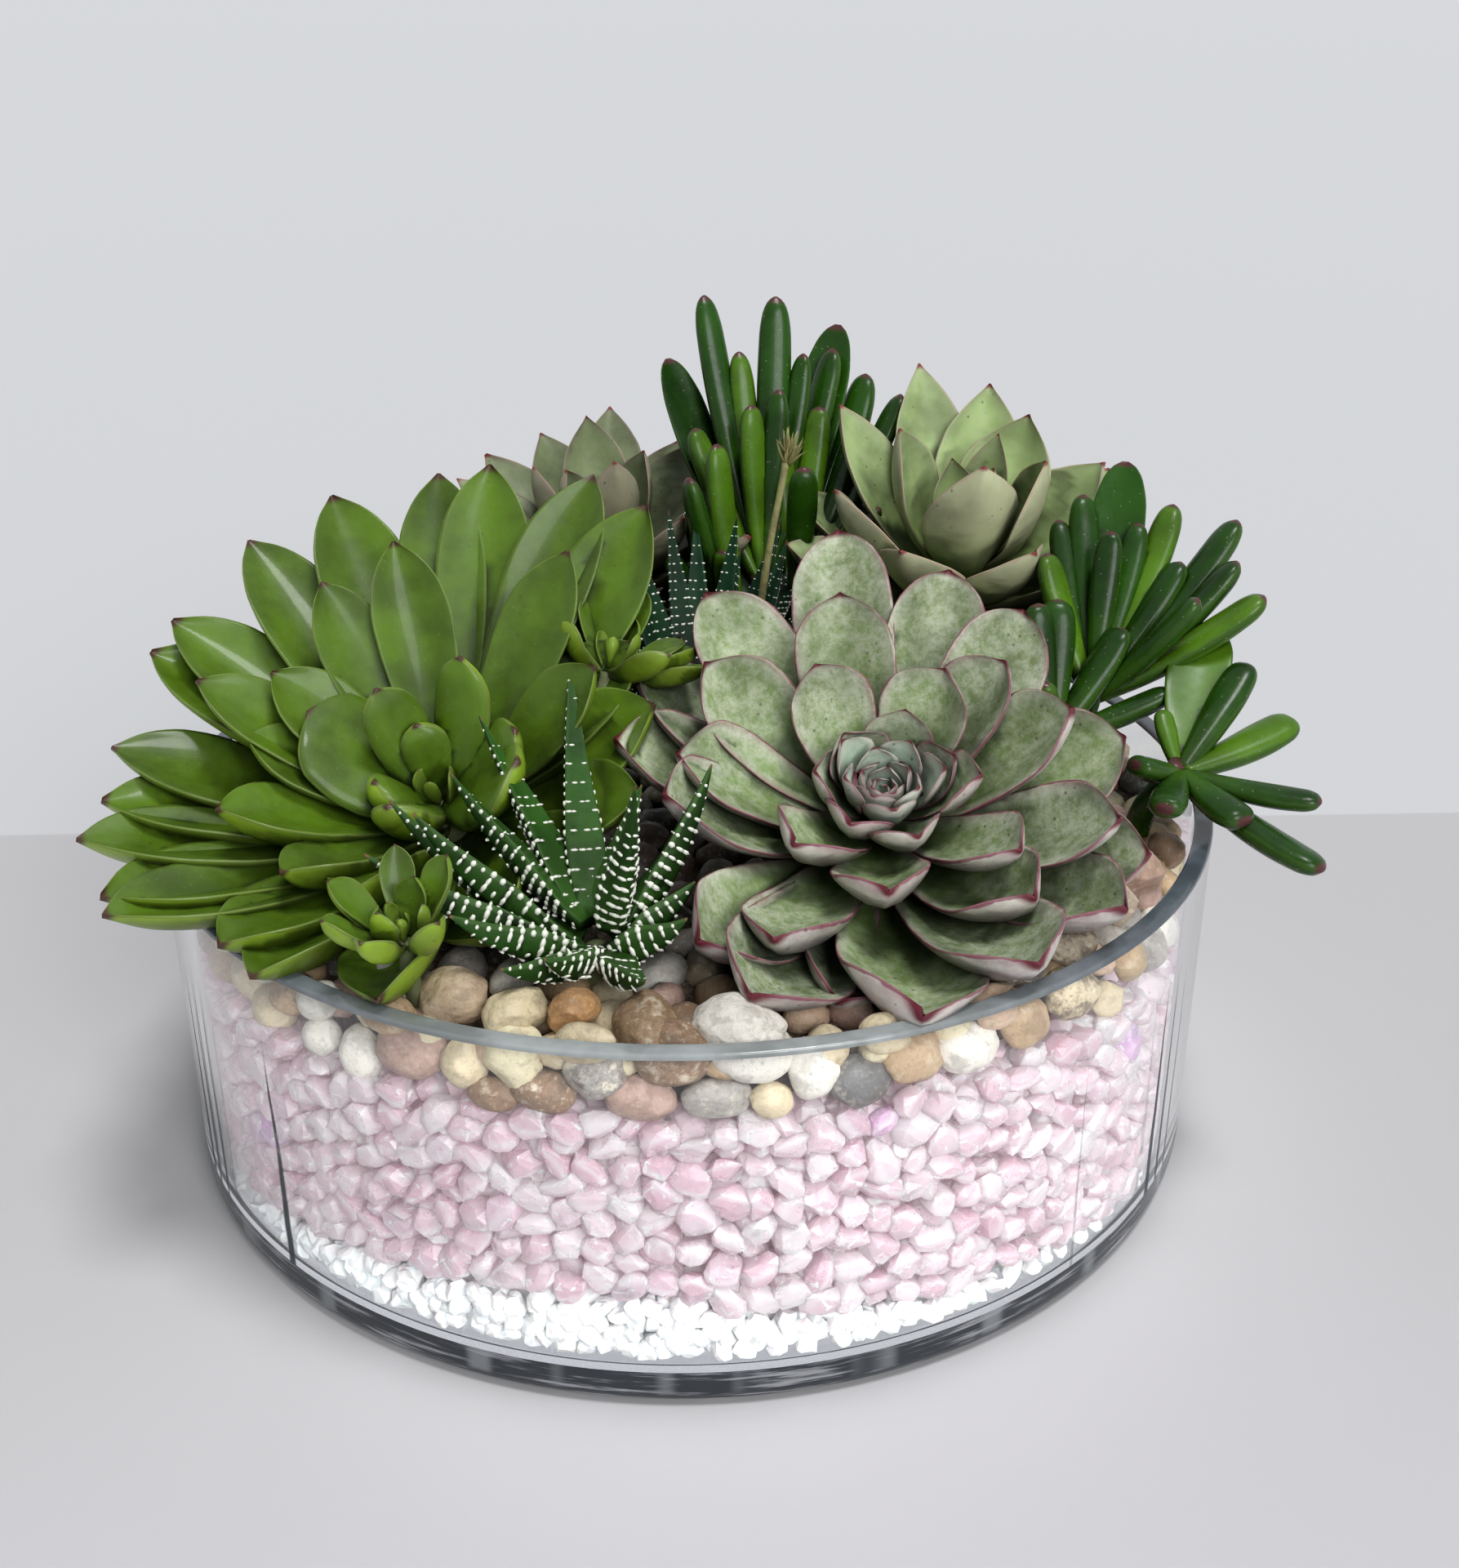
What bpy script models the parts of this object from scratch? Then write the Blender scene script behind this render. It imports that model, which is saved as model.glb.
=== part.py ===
"""Succulent rock garden: seven succulents planted in a round clear glass dish.

The dish is filled in level bands, white gravel, rose quartz chips and river pebbles, round a
bed of potting soil. Each plant is a stem with whorls of leaves. A leaf is one lofted body, and
the leaves of a whorl grow together at the short stem slice that carries them.

Tables are in millimetres and degrees; MM turns them into metres. +Z is up, the origin is the
middle of the dish's underside, and -Y is the side that the large rosettes face.
"""
import math

import bmesh
import bpy
import numpy as np
from mathutils import Vector, noise

MM = 0.001
GAP = 0.4                    # air between pieces that rest on each other

# Dish
DISH_RADIUS = 125.0
DISH_HEIGHT = 84.2
WALL = 4.2
FLOOR_THICKNESS = 8.0
CORNER = 6.0                 # outer corner between wall and underside
SIDES = 36                   # facets round the dish and its fillings

# Fillings, from the floor up
GRAVEL_TOP = 22.0
QUARTZ_FLOOR_TOP = 42.0
QUARTZ_TOP = 66.0
SOIL_RADIUS = 97.0
SOIL_TOP = 74.0
PEBBLE_EDGE_TOP = 78.5
PEBBLE_CROWN = 3.0
BED_SINK = 8.0               # how deep a stem stands in the soil

ROOT_DEPTH = 0.72            # where a leaf starts inside its slice, as a share of the radius
LONG_LEAF = 48.0             # longer leaves have one more section
SEAM_FACES = 1.2             # faces kept on a large joined body for each face of its solids
MERGE = 0.002                # points closer than this are one
FLAT_ANGLE = 0.3             # edges flatter than this are dissolved

# Leaf forms: half width and thickness along the leaf, as fractions of their greatest values
SPOON = {"width": [(0.0, 0.24), (0.30, 0.66), (0.62, 1.0), (0.84, 0.86), (1.0, 0.0)],
         "thick": [(0.0, 0.45), (0.3, 0.9), (0.6, 1.0), (0.85, 0.7), (1.0, 0.0)],
         "cup": 0.18, "steps": (0.0, 0.30, 0.62, 0.87), "short_steps": (0.0, 0.52, 0.86)}
LANCE = {"width": [(0.0, 0.24), (0.35, 0.78), (0.62, 1.0), (0.84, 0.72), (1.0, 0.0)],
         "thick": [(0.0, 0.45), (0.3, 1.0), (0.6, 0.9), (0.85, 0.6), (1.0, 0.0)],
         "cup": 0.14, "steps": (0.0, 0.33, 0.62, 0.86), "short_steps": (0.0, 0.50, 0.84)}
OVATE = {"width": [(0.0, 0.26), (0.30, 0.80), (0.55, 1.0), (0.80, 0.66), (1.0, 0.0)],
         "thick": [(0.0, 0.45), (0.3, 1.0), (0.6, 0.9), (0.85, 0.6), (1.0, 0.0)],
         "cup": 0.22, "steps": (0.0, 0.28, 0.56, 0.82), "short_steps": (0.0, 0.46, 0.80)}
TAPER = {"width": [(0.0, 0.55), (0.25, 1.0), (0.55, 0.68), (0.80, 0.32), (1.0, 0.0)],
         "thick": [(0.0, 0.8), (0.25, 1.0), (0.55, 0.75), (0.80, 0.4), (1.0, 0.0)],
         "cup": 0.10, "steps": (0.0, 0.25, 0.55, 0.80), "short_steps": (0.0, 0.26, 0.70)}
FINGER = {"width": [(0.0, 0.36), (0.25, 0.78), (0.60, 1.0), (0.92, 0.78), (1.0, 0.0)],
          "thick": [(0.0, 0.6), (0.25, 0.85), (0.60, 1.0), (0.92, 0.8), (1.0, 0.0)],
          "cup": 0.05, "steps": (0.0, 0.30, 0.65, 0.94), "short_steps": (0.0, 0.50, 0.93)}

# A whorl is (name, root height, slice (bottom, top, radius), form, width, thickness, bend,
# leaves), and a leaf is (azimuth, length, rise of its chord). Heights run along the plant's axis.
PINK = {
    "name": "pink_edged_echeveria", "centre": (41, -52, 96), "tilt": (28, 270),
    "foot": (42, -38), "colour": (0.22, 0.33, 0.20), "stem": 5.5,
    "whorls": [
        ("heart_leaves", 2.0, (0.7, 3.2, 2.2), SPOON, 12, 2.4, 40,
         [(350, 26, 42), (18, 20, 46), (285, 24, 42), (72, 22, 48), (124, 19, 48), (178, 19, 48),
          (235, 20, 44), (45, 12, 62), (152, 12, 62)]),
        ("inner_leaves", -1.3, (-2.9, 0.4, 3.6), SPOON, 18, 3.4, 34,
         [(118, 35, 38), (58, 35, 38), (318, 40, 34), (263, 40, 34), (222, 32, 34)]),
        ("middle_leaves", -5.0, (-6.8, -3.2, 5.0), SPOON, 22, 3.8, 28,
         [(98, 52, 30), (143, 51, 30), (47, 44, 32), (17, 48, 30), (342, 52, 28), (306, 46, 27),
          (240, 52, 26), (171, 47, 28), (190, 50, 28)]),
        ("outer_leaves", -9.0, (-11.0, -7.1, 6.5), SPOON, 24, 4.0, 22,
         [(96, 72, 20), (123, 66, 20), (149, 61, 20), (165, 59, 20), (73, 64, 20), (51, 61, 20),
          (12, 55, 20), (341, 56, 20), (320, 58, 23), (296, 60, 24), (270, 64, 25), (244, 65, 24),
          (226, 60, 24), (257, 52, 20)]),
    ]}
GREEN = {
    "name": "green_echeveria", "centre": (-55, -45, 98), "tilt": (25, 245),
    "foot": (-50, -36), "colour": (0.12, 0.27, 0.04), "stem": 6.0,
    "whorls": [
        ("inner_leaves", -1.3, (-2.9, 2.0, 3.2), SPOON, 16, 3.6, 30,
         [(122, 36, 50), (152, 31, 48), (52, 34, 48), (3, 22, 46), (335, 30, 42), (250, 22, 50)]),
        ("middle_leaves", -5.0, (-6.8, -3.2, 5.2), LANCE, 17, 4.0, 18,
         [(52, 62, 33), (93, 62, 36), (117, 58, 36), (153, 59, 33), (141, 47, 38), (164, 43, 34),
          (192, 47, 32), (227, 41, 31), (250, 41, 31), (20, 46, 34)]),
        ("outer_leaves", -9.0, (-11.0, -7.1, 7.0), LANCE, 21, 4.2, 12,
         [(264, 64, 22), (240, 61, 24), (228, 59, 24), (212, 72, 24), (202, 71, 22), (190, 74, 21),
          (177, 71, 19), (167, 73, 20), (146, 78, 22), (138, 79, 24), (122, 84, 25), (105, 85, 26),
          (88, 83, 27), (75, 84, 27), (61, 84, 26), (46, 82, 24), (32, 54, 22), (10, 50, 20),
          (345, 46, 20), (320, 44, 20), (290, 48, 20)]),
    ]}
PALE = {
    "name": "pale_echeveria", "centre": (70, 40, 122), "tilt": (15, 270),
    "foot": (73, 45), "colour": (0.30, 0.40, 0.20), "stem": 5.0,
    "whorls": [
        ("heart_leaves", 2.0, (0.7, 3.2, 2.2), OVATE, 13, 2.4, 40,
         [(100, 27, 70), (57, 34, 66), (40, 26, 74), (200, 20, 74), (300, 19, 74)]),
        ("inner_leaves", -1.3, (-2.9, 0.4, 3.6), OVATE, 22, 3.2, 46,
         [(52, 45, 47), (150, 41, 66), (275, 36, 60), (345, 36, 62)]),
        ("middle_leaves", -5.0, (-6.8, -3.2, 5.0), OVATE, 23, 3.6, 36,
         [(102, 59, 44), (74, 55, 42), (136, 54, 42), (190, 44, 46), (18, 47, 38), (235, 38, 44),
          (300, 36, 44)]),
        ("outer_leaves", -9.0, (-11.0, -7.1, 6.0), OVATE, 23, 3.8, 34,
         [(148, 47, 23), (36, 53, 24), (62, 55, 24), (10, 42, 24), (338, 40, 28), (310, 38, 24),
          (262, 37, 24), (215, 40, 24), (180, 44, 23), (88, 56, 26), (120, 54, 24)]),
    ]}
GREY = {
    "name": "grey_echeveria", "centre": (-22, 65, 120), "tilt": (12, 250),
    "foot": (-20, 68), "colour": (0.27, 0.32, 0.20), "stem": 4.6,
    "whorls": [
        ("inner_leaves", -1.3, (-2.9, 1.6, 3.2), OVATE, 17, 3.0, 44,
         [(95, 38, 62), (200, 34, 66), (295, 38, 68), (30, 30, 66), (150, 26, 74)]),
        ("middle_leaves", -5.0, (-6.8, -3.2, 4.6), OVATE, 20, 3.4, 36,
         [(87, 46, 42), (118, 42, 42), (40, 40, 40), (182, 40, 42), (262, 36, 46), (322, 36, 42),
          (220, 36, 42)]),
        ("outer_leaves", -9.0, (-11.0, -7.1, 5.6), OVATE, 20, 3.6, 30,
         [(130, 52, 26), (148, 50, 25), (60, 48, 25), (205, 44, 24), (240, 42, 24), (285, 40, 24),
          (340, 42, 24), (15, 42, 25), (92, 50, 25), (176, 46, 24)]),
    ]}
OFFSET_FRONT = {
    "name": "green_offset_front", "centre": (-55, -99, 94), "tilt": (10, 250),
    "foot": (-50, -94), "colour": (0.13, 0.30, 0.05), "stem": 2.4,
    "whorls": [
        ("leaves", 0.0, (-2.5, 2.0, 2.4), LANCE, 7.5, 2.6, 24,
         [(250, 18, 40), (205, 17, 42), (160, 18, 44), (100, 18, 52), (40, 18, 50), (310, 18, 44),
          (70, 12, 70), (220, 11, 70)]),
    ]}
OFFSET_RIGHT = {
    "name": "green_offset_right", "centre": (-18, -27, 121), "tilt": (20, 60),
    "foot": (-26, -34), "colour": (0.14, 0.31, 0.06), "stem": 2.6,
    "whorls": [
        ("leaves", 0.0, (-2.5, 2.0, 2.6), LANCE, 9.5, 2.8, 20,
         [(75, 25, 52), (35, 20, 28), (10, 20, 22), (345, 21, 14), (115, 20, 50), (310, 19, 20),
          (190, 14, 50), (50, 14, 66)]),
    ]}
HAWORTHIA_FRONT = {
    "name": "front_haworthia", "centre": (-19, -88, 92), "tilt": (0, 270),
    "foot": (-19, -86), "colour": (0.04, 0.12, 0.03), "stem": 3.6,
    "whorls": [
        ("inner_leaves", -0.5, (-2.4, 2.0, 3.0), TAPER, 8.5, 4.4, 8,
         [(100, 60, 32), (121, 53, 32), (325, 34, 76), (142, 42, 32)]),
        ("outer_leaves", -4.6, (-6.6, -2.7, 4.4), TAPER, 9.5, 4.6, 16,
         [(160, 48, 30), (180, 46, 26), (205, 30, 26), (38, 40, 50), (228, 24, 12), (296, 22, 12),
          (340, 18, 26), (20, 20, 28)]),
    ]}
HAWORTHIA_BACK = {
    "name": "back_haworthia", "centre": (2, 4, 101), "tilt": (0, 270),
    "foot": (2, 4), "colour": (0.02, 0.08, 0.05), "stem": 3.6,
    "whorls": [
        ("inner_leaves", -0.5, (-2.4, 2.0, 3.0), TAPER, 8.5, 4.4, 14,
         [(102, 50, 52), (87, 49, 52), (66, 40, 50), (250, 26, 62)]),
        ("outer_leaves", -4.6, (-6.6, -2.7, 4.4), TAPER, 9.0, 4.6, 22,
         [(128, 40, 42), (52, 52, 42), (175, 32, 34), (215, 26, 36), (300, 26, 36), (345, 30, 34),
          (20, 34, 36)]),
    ]}

# Crassula clusters: (name, trunk points, trunk radius, leaves), and a leaf is
# (azimuth, length, rise of its chord, width)
CRASSULA_BACK = {
    "name": "back_crassula", "colour": (0.04, 0.16, 0.02),
    "clusters": [
        ("tall_leaves", [(20, 50, 66), (20, 51, 96), (20, 50, 118)], 4.0,
         [(112, 78, 62, 8), (80, 76, 65, 9), (126, 66, 53, 13), (98, 62, 63, 7), (66, 62, 62, 7),
          (60, 75, 53, 14), (58, 67, 55, 9)]),
        ("side_leaves", [(29, 54, 66), (29, 53, 92), (28, 51, 112)], 3.4,
         [(56, 66, 54, 9), (38, 64, 46, 8), (24, 61, 48, 8), (356, 34, 50, 7), (324, 34, 54, 7),
          (285, 40, 77, 8)]),
        ("front_leaves", [(14, 45, 66), (14, 43, 88), (14, 40, 104)], 3.2,
         [(120, 52, 76, 8), (200, 48, 74, 8), (240, 34, 66, 9), (300, 26, 48, 9), (160, 30, 50, 8)]),
    ]}
CRASSULA_RIGHT = {
    "name": "right_crassula", "colour": (0.05, 0.19, 0.02),
    "clusters": [
        ("upper_leaves", [(93, 2, 66), (94, 0, 88), (97, -3, 106)], 4.0,
         [(71, 62, 50, 14), (86, 52, 52, 8), (98, 46, 50, 7), (50, 54, 46, 8), (31, 57, 40, 9),
          (60, 46, 50, 7), (16, 47, 40, 9), (2, 46, 32, 9), (38, 40, 44, 8)]),
        ("side_leaves", [(84, -13, 66), (85, -13, 86), (86, -13, 99)], 3.2,
         [(80, 34, 56, 9), (40, 32, 44, 9), (8, 30, 20, 8), (130, 24, 50, 8)]),
        ("lower_leaves", [(104, -22, 66), (106, -26, 84), (112, -31, 98)], 3.4,
         [(70, 44, 32, 15), (48, 34, 32, 9), (25, 33, 12, 10), (333, 31, -2, 7), (311, 39, -16, 10),
          (298, 21, -10, 9), (246, 20, 0, 9), (200, 13, 20, 8), (65, 20, 20, 6), (100, 16, 40, 5)]),
    ]}

# River pebbles that lie on top: (name, (x, y), (length, width, thickness), turn)
PEBBLES = [
    ("tan_pebble", (-47, -98), (15, 12, 10), 150), ("grey_pebble", (-60, -92), (13, 11, 8), 140),
    ("cream_pebble", (-34, -105), (14, 11, 9), 60), ("orange_pebble", (-23, -106), (11, 9, 8), 60),
    ("brown_pebble", (-9, -110), (17, 12, 10), 100), ("white_pebble", (8, -112), (17, 14, 10), 0),
    ("dark_pebble", (64, -91), (15, 12, 9), 30), ("mottled_pebble", (76, -82), (16, 12, 9), 130),
    ("pink_pebble", (99, -50), (14, 11, 9), 60), ("rim_pebble", (89, -67), (13, 10, 9), 130),
    ("back_pebble_1", (-76, 80), (16, 13, 10), 20), ("back_pebble_2", (18, 108), (17, 13, 10), 10),
    ("back_pebble_3", (-102, 36), (15, 12, 9), 75), ("back_pebble_4", (90, 66), (15, 13, 9), 120),
]
STALK = [(14, 12, 70), (15, 12, 95), (19, 13, 130), (24, 14, 158)]
STALK_RADIUS = 1.0


# ---------------------------------------------------------------- mesh helpers

def material(name, colour, roughness, transmission=0.0):
    mat = bpy.data.materials.new(name)
    mat.use_nodes = True
    shader = mat.node_tree.nodes["Principled BSDF"]
    shader.inputs["Base Color"].default_value = (*colour, 1.0)
    shader.inputs["Roughness"].default_value = roughness
    shader.inputs["Transmission Weight"].default_value = transmission
    return mat


def closed_mesh(name, points, faces):
    """A mesh in metres from points in millimetres, with its faces pointing out. Four-sided faces
    are all split the same way, so that a body and its grown copy bend alike."""
    bm = bmesh.new()
    verts = [bm.verts.new(Vector(p) * MM) for p in points]
    for face in faces:
        bm.faces.new([verts[i] for i in face])
    bmesh.ops.recalc_face_normals(bm, faces=bm.faces)
    bmesh.ops.triangulate(bm, faces=bm.faces, quad_method="FIXED")
    mesh = bpy.data.meshes.new(name)
    bm.to_mesh(mesh)
    bm.free()
    return mesh


def loft(rings, first_point=None, last_point=None):
    """Points and faces of a body through rings of equal count, each end capped or pointed."""
    count = len(rings[0])
    points = [p for ring in rings for p in ring]
    faces = []
    for r in range(len(rings) - 1):
        for i in range(count):
            a, b = r * count + i, r * count + (i + 1) % count
            faces.append((a, b, b + count, a + count))
    for base, tip, flip in ((0, first_point, True), (len(points) - count, last_point, False)):
        ring = list(range(base, base + count))
        if tip is None:
            faces.append(tuple(reversed(ring)) if flip else tuple(ring))
        else:
            points.append(tip)
            for i in range(count):
                pair = (ring[i], ring[(i + 1) % count])
                faces.append((*(reversed(pair) if flip else pair), len(points) - 1))
    return points, faces


def turned(profile, sides=SIDES):
    """A body of revolution round Z. The profile runs from its lower to its upper axis point."""
    bottom, *sections, top = profile
    rings = [[(r * math.cos(a), r * math.sin(a), z)
              for a in (2 * math.pi * k / sides for k in range(sides))] for r, z in sections]
    return loft(rings, (0, 0, bottom[1]), (0, 0, top[1]))


def boolean(mesh, others, operation, solver="EXACT"):
    """The mesh joined with, or cut by, every mesh in others, as a new mesh."""
    body = bpy.data.objects.new("body", mesh)
    bpy.context.scene.collection.objects.link(body)
    group = bpy.data.collections.new("operands")
    bpy.context.scene.collection.children.link(group)
    for other in others:
        group.objects.link(bpy.data.objects.new("operand", other))
    modifier = body.modifiers.new("boolean", "BOOLEAN")
    modifier.operation = operation
    modifier.operand_type = "COLLECTION"
    modifier.collection = group
    modifier.solver = solver
    depsgraph = bpy.context.evaluated_depsgraph_get()
    result = bpy.data.meshes.new_from_object(body.evaluated_get(depsgraph))
    for operand in list(group.objects):
        bpy.data.objects.remove(operand)
    bpy.data.collections.remove(group)
    bpy.data.objects.remove(body)
    return result


def largest_body(mesh, tidy):
    """The largest connected body. When tidy, doubles and edges inside a flat face are gone."""
    bm = bmesh.new()
    bm.from_mesh(mesh)
    if tidy:
        bmesh.ops.remove_doubles(bm, verts=bm.verts, dist=MERGE * MM)
        bmesh.ops.dissolve_limit(bm, angle_limit=math.radians(FLAT_ANGLE), verts=bm.verts,
                                 edges=bm.edges, use_dissolve_boundaries=False)
    bmesh.ops.triangulate(bm, faces=bm.faces)
    groups, seen = [], set()
    for start in bm.faces:
        if start in seen:
            continue
        group, queue = [], [start]
        seen.add(start)
        while queue:
            face = queue.pop()
            group.append(face)
            for edge in face.edges:
                for other in edge.link_faces:
                    if other not in seen:
                        seen.add(other)
                        queue.append(other)
        groups.append(group)
    groups.sort(key=len)
    bmesh.ops.delete(bm, geom=[f for g in groups[:-1] for f in g], context="FACES")
    result = bpy.data.meshes.new("body")
    bm.to_mesh(result)
    bm.free()
    return result


def evaluated(mesh, kind, **settings):
    """A copy of the mesh with one modifier applied."""
    body = bpy.data.objects.new("body", mesh)
    bpy.context.scene.collection.objects.link(body)
    modifier = body.modifiers.new(kind.lower(), kind)
    for key, value in settings.items():
        setattr(modifier, key, value)
    depsgraph = bpy.context.evaluated_depsgraph_get()
    result = bpy.data.meshes.new_from_object(body.evaluated_get(depsgraph))
    bpy.data.objects.remove(body)
    return result


def is_closed(mesh):
    bm = bmesh.new()
    bm.from_mesh(mesh)
    closed = bool(bm.faces) and all(e.is_manifold and e.calc_length() > 0 for e in bm.edges)
    bm.free()
    return closed


def joined(solids, solver):
    """The solids as one mesh. Joining many makes slivers along the seams, which are collapsed."""
    if len(solids) == 1:
        return solids[0]
    mesh = largest_body(boolean(solids[0], solids[1:], "UNION", solver), True)
    ratio = SEAM_FACES * sum(len(solid.polygons) for solid in solids) / len(mesh.polygons)
    if ratio < 0.95 and len(solids) > 5:
        thin = evaluated(mesh, "DECIMATE", ratio=ratio, use_collapse_triangulate=True)
        return thin if is_closed(thin) else mesh
    return mesh


def shaped(solids, blockers):
    """The solids as one body, relieved round the blockers. The exact solver makes it, and the
    manifold solver where that leaves an open edge."""
    for solver in ("EXACT", "MANIFOLD"):
        mesh = joined(solids, solver)
        if blockers:
            mesh = boolean(mesh, blockers, "DIFFERENCE", solver)
        for tidy in (True, False):
            body = largest_body(mesh, tidy)
            if is_closed(body):
                return body
    return body


def node(name, mesh, mat):
    obj = bpy.data.objects.new(name, mesh)
    mesh.name = name
    mesh.materials.clear()
    mesh.materials.append(mat)
    bpy.context.scene.collection.objects.link(obj)
    return obj


# ---------------------------------------------------------------- plant shapes

def along(table, t):
    return float(np.interp(t, [p[0] for p in table], [p[1] for p in table]))


def leaf_rings(form, length, width, thick, rise, bend, grow):
    """Rings and tip of a leaf that leaves the origin along +X and curls up towards its tip."""
    half, cup = width / 2.0, form["cup"]
    stations = list(form["steps"] if length > LONG_LEAF else form["short_steps"]) + [1.0]
    spine, angle_at = [(0.0, 0.0)], lambda t: math.radians(rise + bend * (t - 0.5))
    for a, b in zip(stations, stations[1:]):
        mean = angle_at((a + b) / 2)
        x, z = spine[-1]
        spine.append((x + (b - a) * length * math.cos(mean), z + (b - a) * length * math.sin(mean)))
    rings = []
    for t, (x, z) in zip(stations[:-1], spine):
        w = half * along(form["width"], t)
        h = thick * along(form["thick"], t)
        edge = cup * w
        section = [(-w - grow, edge + grow / 2), (0.0, 0.18 * h + grow), (w + grow, edge + grow / 2),
                   (0.58 * w + grow / 2, 0.34 * edge - 0.68 * h - grow), (0.0, -h - grow),
                   (-0.58 * w - grow / 2, 0.34 * edge - 0.68 * h - grow)]
        angle = angle_at(t)
        rings.append([(x - s * math.sin(angle), y, z + s * math.cos(angle)) for y, s in section])
    tip_x, tip_z = spine[-1]
    tip_angle = angle_at(1.0)
    return rings, (tip_x + grow * math.cos(tip_angle), 0.0, tip_z + grow * math.sin(tip_angle))


def leaf_mesh(form, azimuth, length, width, thick, rise, bend, root, place, grow=0.0):
    """One leaf: root is (distance from the axis, height on it), place carries it to the plant."""
    rings, tip = leaf_rings(form, length, width, thick, rise, bend, grow)
    c, s = math.cos(math.radians(azimuth)), math.sin(math.radians(azimuth))

    def put(p):
        x = p[0] + root[0]
        return place((x * c - p[1] * s, x * s + p[1] * c, p[2] + root[1]))

    points, faces = loft([[put(p) for p in ring] for ring in rings], None, put(tip))
    return closed_mesh("leaf", points, faces)


def tube_mesh(route, radius, sides=8, grow=0.0):
    """A round stem along a route of points, with level ends."""
    rings = [[(x + (radius + grow) * math.cos(a), y + (radius + grow) * math.sin(a), z)
              for a in (2 * math.pi * k / sides for k in range(sides))] for x, y, z in route]
    low, high = route[0], route[-1]
    rings[0] = [(x, y, low[2] - grow) for x, y, z in rings[0]]
    rings[-1] = [(x, y, high[2] + grow) for x, y, z in rings[-1]]
    return closed_mesh("tube", *loft(rings))


def leaning(centre, tilt):
    """Carries a point in a plant's own frame to the dish's frame. tilt is (angle, towards)."""
    angle, towards = math.radians(tilt[0]), math.radians(tilt[1])
    axis = Vector((-math.sin(towards), math.cos(towards), 0.0))

    def place(p):
        v = Vector(p)
        turned_v = (v * math.cos(angle) + axis.cross(v) * math.sin(angle)
                    + axis * axis.dot(v) * (1 - math.cos(angle)))
        return tuple(turned_v + Vector(centre))
    return place


def slice_mesh(bottom, top, radius, place, grow=0.0, sides=10):
    ring = [((radius + grow) * math.cos(a), (radius + grow) * math.sin(a))
            for a in (2 * math.pi * (k + 0.5) / sides for k in range(sides))]
    rings = [[place((x, y, z)) for x, y in ring] for z in (bottom - grow, top + grow)]
    return closed_mesh("slice", *loft(rings))


def rosette_solids(plant):
    """(node name, solids, the same solids grown by the gap) for the plant's stem and whorls."""
    place = leaning(plant["centre"], plant["tilt"])
    pieces = []
    for name, height, (bottom, top, radius), form, width, thick, bend, leaves in plant["whorls"]:
        sets = []
        for grow in (0.0, GAP):
            solids = [slice_mesh(bottom, top, radius, place, grow)]
            root = (ROOT_DEPTH * radius, height)
            solids += [leaf_mesh(form, azimuth, length, width, thick, rise, bend, root, place, grow)
                       for azimuth, length, rise in leaves]
            sets.append(solids)
        pieces.append((f"{plant['name']}_{name}", *sets))
    lowest = min(whorl[2][0] for whorl in plant["whorls"]) - GAP
    neck = [place((0, 0, lowest - d)) for d in (9.0, 0.0)]
    foot_x, foot_y = plant["foot"]
    route = [(foot_x, foot_y, SOIL_TOP - BED_SINK), (foot_x, foot_y, SOIL_TOP - 2), neck[0]]
    radius = plant["stem"]
    stems = []
    for grow in (0.0, GAP):
        collar = slice_mesh(lowest - 9.0, lowest, radius * 0.9, place, grow)
        stems.append([tube_mesh(route, radius * 0.8, 8, grow), collar])
    pieces.append((f"{plant['name']}_stem", *stems))
    return pieces


def crassula_solids(plant):
    """The same for a crassula, whose finger leaves grow from short branches."""
    pieces = []
    for name, route, radius, leaves in plant["clusters"]:
        head = route[-1]
        place = leaning(head, (0, 0))
        sets = []
        for grow in (0.0, GAP):
            solids = [tube_mesh(route, radius, 8, grow)]
            for azimuth, length, rise, width in leaves:
                thick = min(6.5, 0.74 * width)
                root = (0.2 * radius, -0.6 * radius)
                solids.append(leaf_mesh(FINGER, azimuth, length, width, thick, rise, 14, root,
                                        place, grow))
            sets.append(solids)
        pieces.append((f"{plant['name']}_{name}", *sets))
    return pieces


# ---------------------------------------------------------------- dish and fillings

def dish_mesh():
    outer, inner = DISH_RADIUS, DISH_RADIUS - WALL
    corner = [(outer - CORNER * (1 - math.sin(a)), CORNER * (1 - math.cos(a)))
              for a in (0.0, math.pi / 4, math.pi / 2)]
    profile = [(0, 0), *corner, (outer, DISH_HEIGHT - 1.0), (outer - 1.2, DISH_HEIGHT),
               (inner + 1.2, DISH_HEIGHT), (inner, DISH_HEIGHT - 1.0),
               (inner, FLOOR_THICKNESS + 2.0), (inner - 2.0, FLOOR_THICKNESS),
               (0, FLOOR_THICKNESS)]
    return closed_mesh("dish", *turned(profile))


def rim_clearance_mesh():
    """The top of the dish wall with the gap round it, for leaves that hang over the rim."""
    outer, inner = DISH_RADIUS + GAP, DISH_RADIUS - WALL - GAP
    low, high = DISH_HEIGHT - 20.0, DISH_HEIGHT + GAP
    section = [(outer, low), (outer, high), (inner, high), (inner, low)]
    angles = [2 * math.pi * k / SIDES for k in range(SIDES)]
    points = [(r * math.cos(a), r * math.sin(a), z) for a in angles for r, z in section]
    faces = []
    for k in range(SIDES):
        for i in range(4):
            a, b = 4 * k + i, 4 * k + (i + 1) % 4
            c, d = (a + 4) % len(points), (b + 4) % len(points)
            faces.append((a, c, d, b))
    return closed_mesh("rim", points, faces)


def over_rim(solid):
    reach = (DISH_RADIUS - WALL - 1.0) * MM
    return any(math.hypot(v.co.x, v.co.y) > reach and v.co.z < (DISH_HEIGHT + 2.0) * MM
               for v in solid.vertices)


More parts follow.
